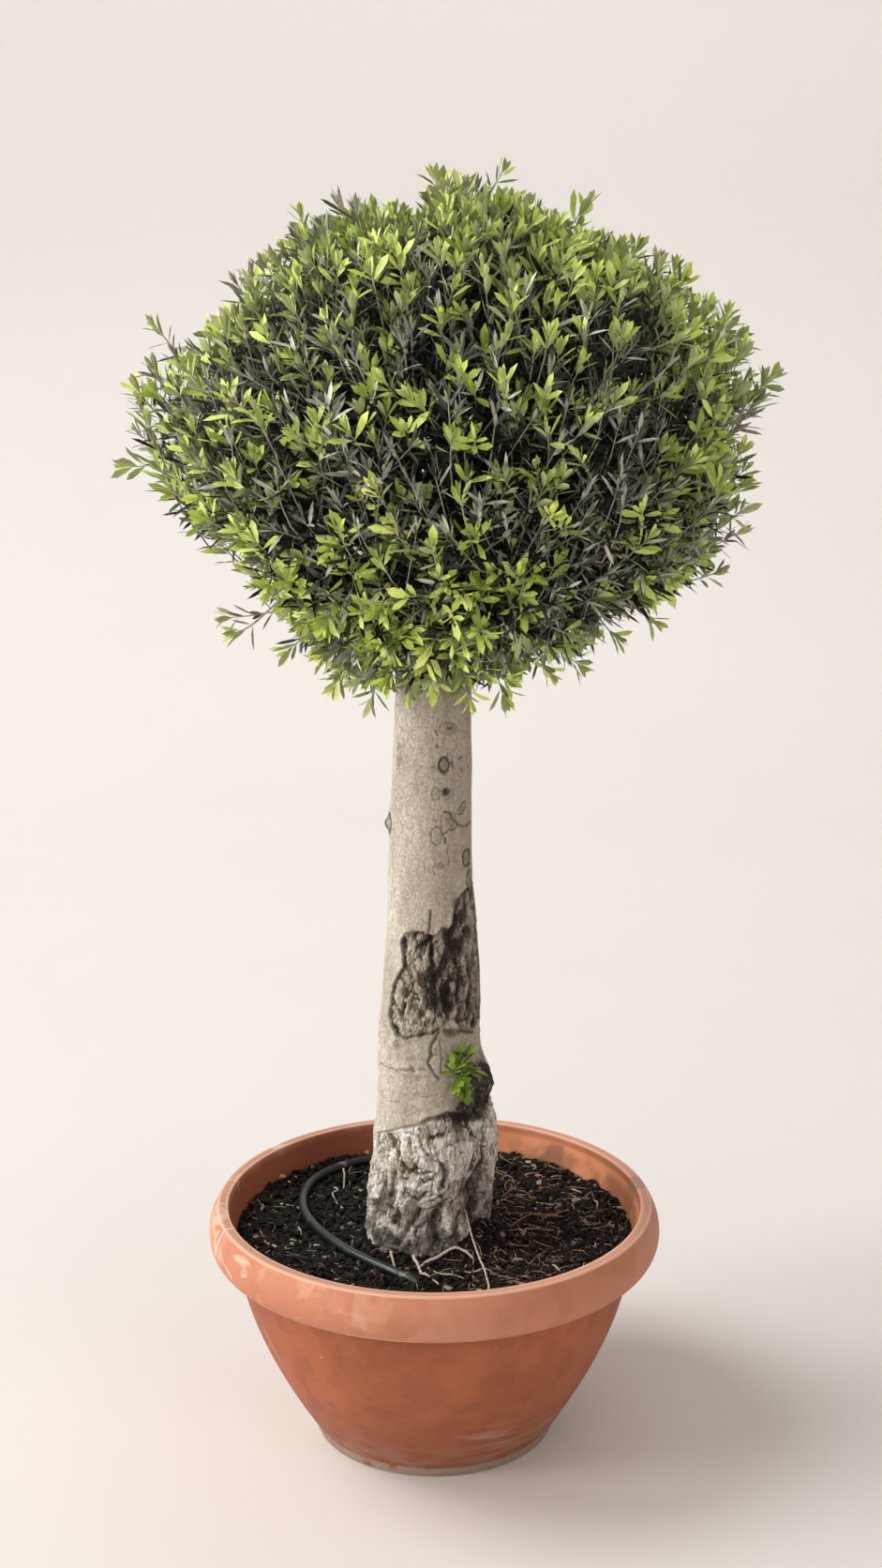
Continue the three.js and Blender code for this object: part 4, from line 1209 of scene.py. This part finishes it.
def leafFinish(name, dark, light, roughness, specular):
    finish = Finish(name, roughness=roughness, specular=specular)
    fleck = finish.noise(330, detail=2)
    colour = finish.mix(finish.noise(34, detail=2).above(0.5, 0.14), dark, light)
    colour = finish.mix(fleck.above(0.6, 0.1) * 0.3, colour, tuple(c * 0.7 for c in dark))
    return finish.feed(Base_Color=colour, Normal=finish.bump(fleck, 0.1, 0.0004))


crown = {
    "centre": np.array([27, 0, 1334.0]),
    "reach": np.array([364, 344, 303.0]),
    # azimuth, elevation, out and spread of each swelling or dip of the clipped surface
    "lobes": [
        (180, 8, 0.14, 17), (157, 58, 0.09, 14), (180, 31, -0.17, 13), (137, 72, -0.22, 9), (200, 74, -0.18, 9),
        (250, 60, -0.1, 9), (180, -30, -0.2, 16), (180, -72, 0.14, 20), (0, -86, 0.06, 18), (0, 10, 0.12, 11),
        (0, 48, -0.08, 12), (32, 66, -0.06, 10), (0, -20, 0.05, 12), (0, -60, -0.09, 13), (250, -44, 0.08, 20),
        (300, 20, 0.06, 24), (228, 22, -0.05, 18), (80, 30, 0.06, 26), (130, -10, 0.05, 22),
        (104, 8, -0.07, 14), (40, -30, -0.06, 20),
    ],
    # how many smaller swellings at random, how far out and how widely spread
    "lumps": (60, 0.17, 8),
    # lone shoots that stand out of the outline: where each starts and ends
    "sprigs": [
        ((-170, -70, 1128), (-276, -60, 1108)), ((-215, -60, 1110), (-262, -75, 1085)),
        ((352, -20, 1366), (432, -10, 1410)), ((290, -40, 1150), (372, -30, 1170)),
        ((-330, -30, 1300), (-398, -20, 1290)), ((-300, -20, 1420), (-352, -10, 1478)),
        ((60, 10, 1610), (96, 0, 1662)), ((10, 0, 1600), (-4, 0, 1655)), ((150, 0, 1560), (196, 0, 1622)),
        ((-150, 0, 1560), (-168, 0, 1612)), ((70, -40, 1075), (112, -60, 1035)),
        ((40, -60, 1080), (75, -95, 1030)), ((-110, -60, 1085), (-158, -50, 1052)),
        ((70, -50, 1075), (92, -66, 990)), ((110, -30, 1090), (156, -44, 1022)),
        ((200, -30, 1115), (240, -44, 1068)), ((-60, -60, 1070), (-84, -74, 990)),
        ((240, -20, 1130), (290, -30, 1088)), ((-95, -50, 1078), (-134, -66, 1010)),
        ((34, -70, 1075), (50, -92, 992)), ((140, -40, 1088), (196, -50, 1036)),
        ((-20, -84, 1082), (-34, -112, 1004)), ((-150, -50, 1100), (-196, -60, 1056)),
        ((-40, -56, 1064), (-68, -98, 1026)), ((0, -62, 1064), (6, -108, 1020)),
        ((-84, -40, 1070), (-130, -64, 1030)), ((60, -46, 1062), (106, -82, 1024)),
        ((90, -30, 1078), (138, -52, 1044)), ((-20, -72, 1060), (-32, -114, 1030)),
        ((30, -72, 1060), (42, -116, 1030)), ((-110, -44, 1084), (-152, -78, 1056)),
        ((-56, 30, 1062), (-104, 44, 1026)), ((60, 40, 1062), (104, 60, 1026)), ((0, 66, 1062), (0, 112, 1022)),
    ],
    "parting": np.array([0, 0, 1180.0]),
    "stemEnds": 185,
    # heading and elevation of each mass, and how far out on the trunk's tip its stem stands
    "masses": [(180, 10, 33), (0, 10, 33), (270, 10, 33), (90, 10, 33), (180, 70, 11.5), (0, 70, 11.5)],
    "nodes": ["crown_left", "crown_right", "crown_front", "crown_back", "crown_top_left", "crown_top_right"],
    "boughs": 66,
    "branchlets": 380,
    "shoots": 2900,
    # how far out their tips are, and their radii in millimetres from foot to tip
    "boughTips": (0.52, 0.66),
    "branchletTips": (0.74, 0.86),
    "stemRadii": (19.0, 10.0),
    "boughRadius": 10.5,
    "branchletRadii": (3.6, 1.9),
    "twigRadius": 1.35,
    # sides and lengthwise parts of each limb
    "limbs": {"mainStems": (9, 9), "boughs": (7, 6), "branchlets": (5, 4)},
    "mostTriangles": 190000,  # in one piece of leaves
    "innerShare": 0.3,
    # the share of shoots that end in bright young leaves, and where they are more or less common
    "young": 0.665,
    "youngPlaces": [
        (240, 5, -0.34, 34), (298, -8, -0.34, 20), (314, -36, -0.34, 20), (268, -32, 0.3, 12),
        (249, 22, 0.35, 7), (279, 10, 0.1, 8), (334, 24, 0.5, 24), (347, -8, 0.35, 20), (285, 64, 0.3, 26),
        (205, 22, 0.3, 20), (200, -16, 0.25, 18), (226, -46, 0.2, 16), (228, -26, -0.3, 14), (320, 45, 0.2, 22),
        (0, 10, 0.2, 40),
    ],
}

# for each kind of leaf: its blade and underside, and the dark, light, roughness and gloss of its upper side
leafKinds = {
    # near black: painted shade for leaves deep in the crown
    "inner": ("narrow", "leafUnderside", (0.008, 0.010, 0.006), (0.020, 0.024, 0.014), 0.6, 0.25),
    # the silvery grey of old olive leaves, partly painted highlight on the outer leaves
    "silverAndHighlight": ("narrow", "leafUnderside", (0.42, 0.425, 0.36), (0.82, 0.80, 0.70), 0.38, 0.6),
    "oldGrey": ("narrow", "leafUnderside", (0.040, 0.052, 0.034), (0.17, 0.185, 0.14), 0.38, 0.6),
    "oldGreen": ("narrow", "leafUnderside", (0.026, 0.036, 0.021), (0.070, 0.086, 0.052), 0.38, 0.6),
    "midGreen": ("narrow", "youngUnderside", (0.11, 0.165, 0.04), (0.21, 0.30, 0.07), 0.44, 0.45),
    # the young kinds: partly their own pale green, partly a painted glow of light through them
    "youngGreenGlow": ("broad", "youngUnderside", (0.33, 0.45, 0.075), (0.54, 0.68, 0.13), 0.4, 0.5),
    "youngYellowGlow": ("broad", "youngUnderside", (0.60, 0.72, 0.12), (0.86, 0.95, 0.28), 0.4, 0.5),
}
leafUnders = {
    "leafUnderside": ((0.24, 0.225, 0.19), (0.44, 0.41, 0.36), 0.55, 0.35),
    "youngUnderside": ((0.42, 0.46, 0.20), (0.54, 0.58, 0.28), 0.5, 0.4),
}

shootRule = {
    "length": (80, 150),
    "tips": (0.83, 0.955),
    "innerTips": (0.62, 0.84),
    # the share of shoots that stand proud of the rest, and how far
    "proud": (0.12, 0.05),
    "upward": 0.75,
    "strays": 0.3,
    "sprigPullBack": 22,  # its leaves reach on past a lone shoot's end
    # shares of young shoots that are yellowish, of old ones that are grey, and of old leaves that are silver,
    # partly with painted highlight
    "yellowish": 0.6,
    "grey": 0.5,
    "silverAndHighlight": 0.27,
    # widths for each unit of length, and how far past the source's box a leaf may reach
    "youngWidths": (0.25, 0.32),
    "oldWidths": (0.14, 0.19),
    "margin": 24,
    # for each pair of leaves from the tip down: distance from the tip, splay and length
    "pairs": [
        (0, 9, 17), (3, 19, 23), (8, 31, 28), (15, 41, 31), (24, 47, 32), (34, 50, 33), (46, 52, 33), (59, 54, 32),
        (73, 56, 31), (88, 58, 30),
    ],
}


def crownSwellings():
    count, out, spread = crown["lumps"]
    draw = randomFrom(3)
    swellings = [(facing(azimuth, elevation), out, spread) for azimuth, elevation, out, spread in crown["lobes"]]
    for direction in spreadDirections(count):
        swellings.append((direction, out * (draw() - 0.5), spread * (1 + draw())))
    return swellings


swellings = crownSwellings()


def crownReach(directions):
    swell = np.ones(len(directions))
    for heading, out, spread in swellings:
        away = np.degrees(np.arccos(np.clip(directions @ heading, -1, 1)))
        swell += out * gauss(away, spread)
    return swell / np.linalg.norm(directions / crown["reach"], axis=1)


def crownPoints(directions, share):
    return crown["centre"] + directions * (crownReach(directions) * share)[:, None]


def offTrunk(points, gap):
    # which points are clear of the trunk by the gap
    girth, middle = trunkMiddle(points[..., 2])
    beside = np.hypot(points[..., 0] - middle, points[..., 1]) > girth + gap
    return beside | (points[..., 2] > trunk["tip"] + gap)


def nearestOf(points, others):
    # for each point, which of the others is nearest
    return np.array([np.argmin(((others - point) ** 2).sum(axis=1)) for point in points])


def growLimbs(draw):
    # stems from the trunk's tip, boughs from the stems and branchlets from the boughs
    azimuths, elevations, stands = np.array(crown["masses"], float).T
    headings, level = facing(azimuths, elevations), facing(azimuths, 0 * azimuths)
    starts = np.array([0, 0, trunk["tip"] - 34.0]) + level * stands[:, None] * 0.7
    ends = crown["parting"] + headings * crown["stemEnds"]
    bends = starts * 0.5 + ends * 0.5 + level * 6 + draw.normal(0, 8, ends.shape)
    limbs = [(starts, bends, ends, *(np.full(len(ends), radius) for radius in crown["stemRadii"]))]

    boughs = crown["boughs"]
    boughTips = crownPoints(spreadDirections(boughs), draw.uniform(*crown["boughTips"], boughs))
    boughTips = boughTips[offTrunk(boughTips, 20)]
    owner = nearestOf(boughTips, ends + headings * 40)
    share = draw.uniform(0.35, 0.95, len(boughTips))[:, None]
    boughStarts = bent(starts[owner], bends[owner], ends[owner], share)
    middle = (boughStarts + boughTips) / 2 + draw.normal(0, 14, boughTips.shape)
    wide = crown["boughRadius"] - 3.5 * share[:, 0]
    limbs.append((boughStarts, middle, boughTips, wide, wide * 0.45))

    directions = spreadDirections(crown["branchlets"]) + draw.normal(0, 0.05, (crown["branchlets"], 3))
    tips = crownPoints(unit(directions), draw.uniform(*crown["branchletTips"], len(directions)))
    tips = tips[offTrunk(tips, 14)]
    owner = nearestOf(tips, boughTips)
    share = draw.uniform(0.3, 1, len(tips))[:, None]
    starts = bent(boughStarts[owner], middle[owner], boughTips[owner], share)
    middle = (starts + tips) / 2 + draw.normal(0, 11, tips.shape)
    limbs.append((starts, middle, tips, *(np.full(len(tips), radius) for radius in crown["branchletRadii"])))
    return limbs, tips


def growShoots(draw):
    count = crown["shoots"]
    directions = unit(spreadDirections(count) + draw.normal(0, 0.022, (count, 3)))
    inner = draw.random(count) < crown["innerShare"]
    share = draw.uniform(*shootRule["tips"], count)
    often, far = shootRule["proud"]
    share += np.where(draw.random(count) < often, far * draw.random(count), 0)
    share = np.where(inner, draw.uniform(*shootRule["innerTips"], count), share)
    tips = crownPoints(directions, share)
    tips = crownPoints(directions, share + 0.03 * layeredNoise(tips, 70, 2, 80))
    upward = shootRule["upward"] * np.clip(1.15 + directions[:, 2], 0.1, 1)
    lean = directions * 0.78 + np.array([0, 0, 1.0]) * upward[:, None]
    lean = unit(lean + shootRule["strays"] * draw.normal(0, 1, (count, 3)))
    # none of them turns back into the crown
    outward = (lean * directions).sum(axis=1, keepdims=True)
    lean = unit(lean + directions * np.clip(0.45 - outward, 0, None))
    length = draw.uniform(*shootRule["length"], count)[:, None]
    roots = tips - lean * length
    bends = (roots + tips) / 2 + draw.normal(0, 5, tips.shape) + directions * length * 0.04
    bends[:, 2] -= 0.09 * length[:, 0]
    sprigs = np.array(crown["sprigs"], float)
    sprigs[:, 1] -= unit(sprigs[:, 1] - sprigs[:, 0]) * shootRule["sprigPullBack"]
    roots, tips = (np.vstack([run, end]) for run, end in ((roots, sprigs[:, 0]), (tips, sprigs[:, 1])))
    bends = np.vstack([bends, sprigs.mean(axis=1) - np.array([0, 0, 5.0])])
    directions = np.vstack([directions, unit(sprigs[:, 1] - crown["centre"])])
    length = np.vstack([length, np.linalg.norm(sprigs[:, 1] - sprigs[:, 0], axis=1)[:, None]])
    inner = np.append(inner, np.zeros(len(sprigs), bool))
    free = offTrunk(tips, 12) & offTrunk(bends, 8)
    return directions[free], inner[free], roots[free], bends[free], tips[free], length[free, 0]


def youngShare(directions, tips):
    # how likely a shoot is to end in bright young leaves, which come in drifts
    share = crown["young"] + 0.18 * layeredNoise(tips, 75, 2, 90)
    for azimuth, elevation, more, spread in crown["youngPlaces"]:
        away = np.degrees(np.arccos(np.clip(directions @ facing(azimuth, elevation), -1, 1)))
        share += more * gauss(away, spread)
    return share


def growLeaves(draw, directions, inner, roots, bends, tips, length):
    # for each kind, its leaves' roots, directions, upper sides, lengths, widths and curls
    count = len(tips)
    young = (draw.random(count) < youngShare(directions, tips)) & ~inner
    young[-len(crown["sprigs"]) :] = True
    freshPairs = draw.integers(3, 6, count)
    bright = draw.random(count) < shootRule["yellowish"]
    phase = draw.uniform(0, 2 * math.pi, count)
    vigour = draw.uniform(0.86, 1.14, count)
    kinds = {kind: [] for kind in leafKinds}
    grey = draw.random(count) < shootRule["grey"]
    low, high = np.array(cadBox[0]) / mm - shootRule["margin"], np.array(cadBox[1]) / mm + shootRule["margin"]
    for number, (back, splay, long) in enumerate(shootRule["pairs"]):
        t = np.clip(1 - back / length, 0, 1)[:, None]
        node = bent(roots, bends, tips, t)
        tangent = unit((bends - roots) * (1 - t) + (tips - bends) * t)
        for half in (0, math.pi):
            outward = roundAbout(tangent, phase + number * math.pi / 2 + half + draw.normal(0, 0.2, count))
            lean = np.radians(splay + draw.normal(0, 9, count) + (5 if number else 0))[:, None]
            along = unit(tangent * np.cos(lean) + outward * np.sin(lean))
            normal = tangent * np.sin(lean) - outward * np.cos(lean)
            roll = draw.normal(0, 0.42, count)[:, None]
            normal = normal * np.cos(roll) + np.cross(normal, along) * np.sin(roll)
            size = long * vigour * draw.uniform(0.85, 1.15, count)
            fresh = young & (number < freshPairs)
            middling = (young & (number == freshPairs)) | (~young & ~inner & (number == 0))
            fresh &= draw.random(count) < 0.95
            broad, slim = (draw.uniform(*shootRule[key], count) for key in ("youngWidths", "oldWidths"))
            wide = size * np.where(fresh, broad, slim)
            curl = draw.normal(-0.04, 0.09, count)
            root = node + outward * 0.7
            end = root + along * size[:, None]
            kept = offTrunk(end, 3) & offTrunk(root, 2) & (end > low).all(axis=1) & (end < high).all(axis=1)
            kept &= (length > back + 4) & (draw.random(count) < (1 if number < 4 else 0.7))
            pale = draw.random(count) < shootRule["silverAndHighlight"]
            old = ~fresh & ~middling
            # old leaves near the tips of outer shoots keep their own tones; the other old leaves take the
            # near-black inner kind, painted shade
            seen = old & ~inner & (number < 5)
            sorts = {
                "youngYellowGlow": fresh & bright,
                "youngGreenGlow": fresh & ~bright,
                "midGreen": middling & ~fresh,
                "inner": old & ~seen,
                "silverAndHighlight": seen & pale,
                "oldGrey": seen & grey & ~pale,
                "oldGreen": seen & ~grey & ~pale,
            }
            for kind, chosen in sorts.items():
                pick = chosen & kept
                kinds[kind].append((root[pick], along[pick], normal[pick], size[pick], wide[pick], curl[pick]))
    return kinds


def buildCrown():
    draw = np.random.default_rng(17)
    limbs, branchletTips = growLimbs(draw)
    # the limbs are dark with painted shade, being deep in the crown; the twigs are paler
    shadedLimbWood = woodyFinish("shadedLimbWood", (0.05, 0.042, 0.034), (0.15, 0.125, 0.10))
    twigWood = woodyFinish("twigWood", (0.25, 0.215, 0.17), (0.58, 0.52, 0.45))
    for (name, (sides, parts)), limb in zip(crown["limbs"].items(), limbs):
        template = tubeTemplate(sides, parts)
        addCopies(name, template, tubesAlong(template, *limb), [shadedLimbWood], "bark", crown["nodes"], True)

    directions, inner, roots, bends, tips, length = growShoots(draw)
    owner = branchletTips[nearestOf(roots, branchletTips)]
    template = tubeTemplate(3, 3)
    thin = np.full(len(tips), crown["twigRadius"])
    middle = (owner + roots) / 2 + draw.normal(0, 5, roots.shape)
    links = tubesAlong(template, owner, middle, roots, thin * 1.3, thin)
    shoots = tubesAlong(template, roots, bends, tips, thin, thin * 0.55)
    places = np.concatenate([links[offTrunk(links, 3).all(axis=1)], shoots])
    addCopies("twigs", template, places, [twigWood], "bark", crown["nodes"], True)

    kinds = growLeaves(draw, directions, inner, roots, bends, tips, length)
    blades = {
        "narrow": leafTemplate([(0, 0), (0.34, 0.92), (0.72, 0.86), (1, 0)], 0.13, 0.035),
        "broad": leafTemplate([(0, 0), (0.38, 0.84), (0.74, 1.0), (1, 0)], 0.11, 0.035),
    }
    unders = {name: leafFinish(name, *look) for name, look in leafUnders.items()}
    total = 0
    for kind, (blade, under, *look) in leafKinds.items():
        template, finishes = blades[blade], [leafFinish(kind + "Leaf", *look), unders[under]]
        places = bladesAt(template, *(np.concatenate(run) for run in zip(*kinds[kind])))
        most = crown["mostTriangles"] // len(template["triangles"])
        for part, start in enumerate(range(0, len(places), most)):
            chosen = places[start : start + most]
            addCopies(f"{kind}Leaves{part + 1}", template, chosen, finishes, "foliage", crown["nodes"])
        total += len(places)
    print(f"crown done: {len(tips)} shoots, {total} leaves")


buildCrown()

sprout = {
    "heading": -61,
    "height": 514,
    # heading from the sprout's own, elevation and length of each shoot
    "shoots": [
        (-12, 80, 33), (34, 62, 36), (-58, 52, 22), (62, 30, 20), (-34, -30, 18), (12, -58, 18), (-4, 20, 16),
    ],
    "leaves": 9,
    "leafLength": (15, 26),
    "leafWidths": (0.42, 0.56),  # for each unit of length
    "stemRadii": (1.5, 0.9),
}


def buildSprout():
    draw = np.random.default_rng(8)
    heading, turn = sprout["heading"], math.radians(sprout["heading"])
    height = np.array([float(sprout["height"])])
    radius = trunkRadius(height, np.array([turn]))[0] - 2
    root = np.array([trunkMiddle(height)[1][0] + radius * math.cos(turn), radius * math.sin(turn), height[0]])
    turns, rises, reach = np.array(sprout["shoots"], float).T
    count = len(reach)
    ways = facing(heading + turns, rises)
    starts = np.repeat(root[None], count, axis=0)
    tips = starts + ways * reach[:, None]
    template = tubeTemplate(4, 3)
    bends = (starts + tips) / 2 + np.array([0, 0, 2.0])
    radii = [np.full(count, radius) for radius in sprout["stemRadii"]]
    stems = tubesAlong(template, starts, bends, tips, *radii)
    green = woodyFinish("greenStem", (0.15, 0.22, 0.05), (0.28, 0.36, 0.10))
    addCopies("sproutStems", template, stems, [green], "new_leaves", ["trunk_sprout"], True)

    rows = []
    for _ in range(sprout["leaves"]):
        outward = roundAbout(ways, draw.uniform(0, 2 * math.pi, count))
        lean = np.radians(draw.uniform(8, 58, count))[:, None]
        along = unit(ways * np.cos(lean) + outward * np.sin(lean) + facing(heading, 20) * 0.25)
        normal = unit(np.cross(along, np.cross(ways * 0.6 + np.array([0, -0.2, 1.0]), along)))
        size = draw.uniform(*sprout["leafLength"], count)
        start = starts + (tips - starts) * draw.uniform(0.35, 1, count)[:, None]
        wide, curl = size * draw.uniform(*sprout["leafWidths"], count), draw.normal(-0.1, 0.1, count)
        rows.append((start, along, normal, size, wide, curl))
    blade = leafTemplate([(0, 0), (0.24, 0.5), (0.5, 0.92), (0.8, 0.86), (1, 0)], 0.12, 0.03)
    finishes = [
        leafFinish("sproutLeaf", (0.11, 0.20, 0.02), (0.30, 0.41, 0.055), 0.5, 0.35),
        leafFinish("sproutUnderside", (0.20, 0.30, 0.05), (0.32, 0.42, 0.09), 0.5, 0.35),
    ]
    places = bladesAt(blade, *(np.concatenate(run) for run in zip(*rows)))
    addCopies("sproutLeaves", blade, places, finishes, "new_leaves", ["trunk_sprout"])
    print("sprout done")


buildSprout()
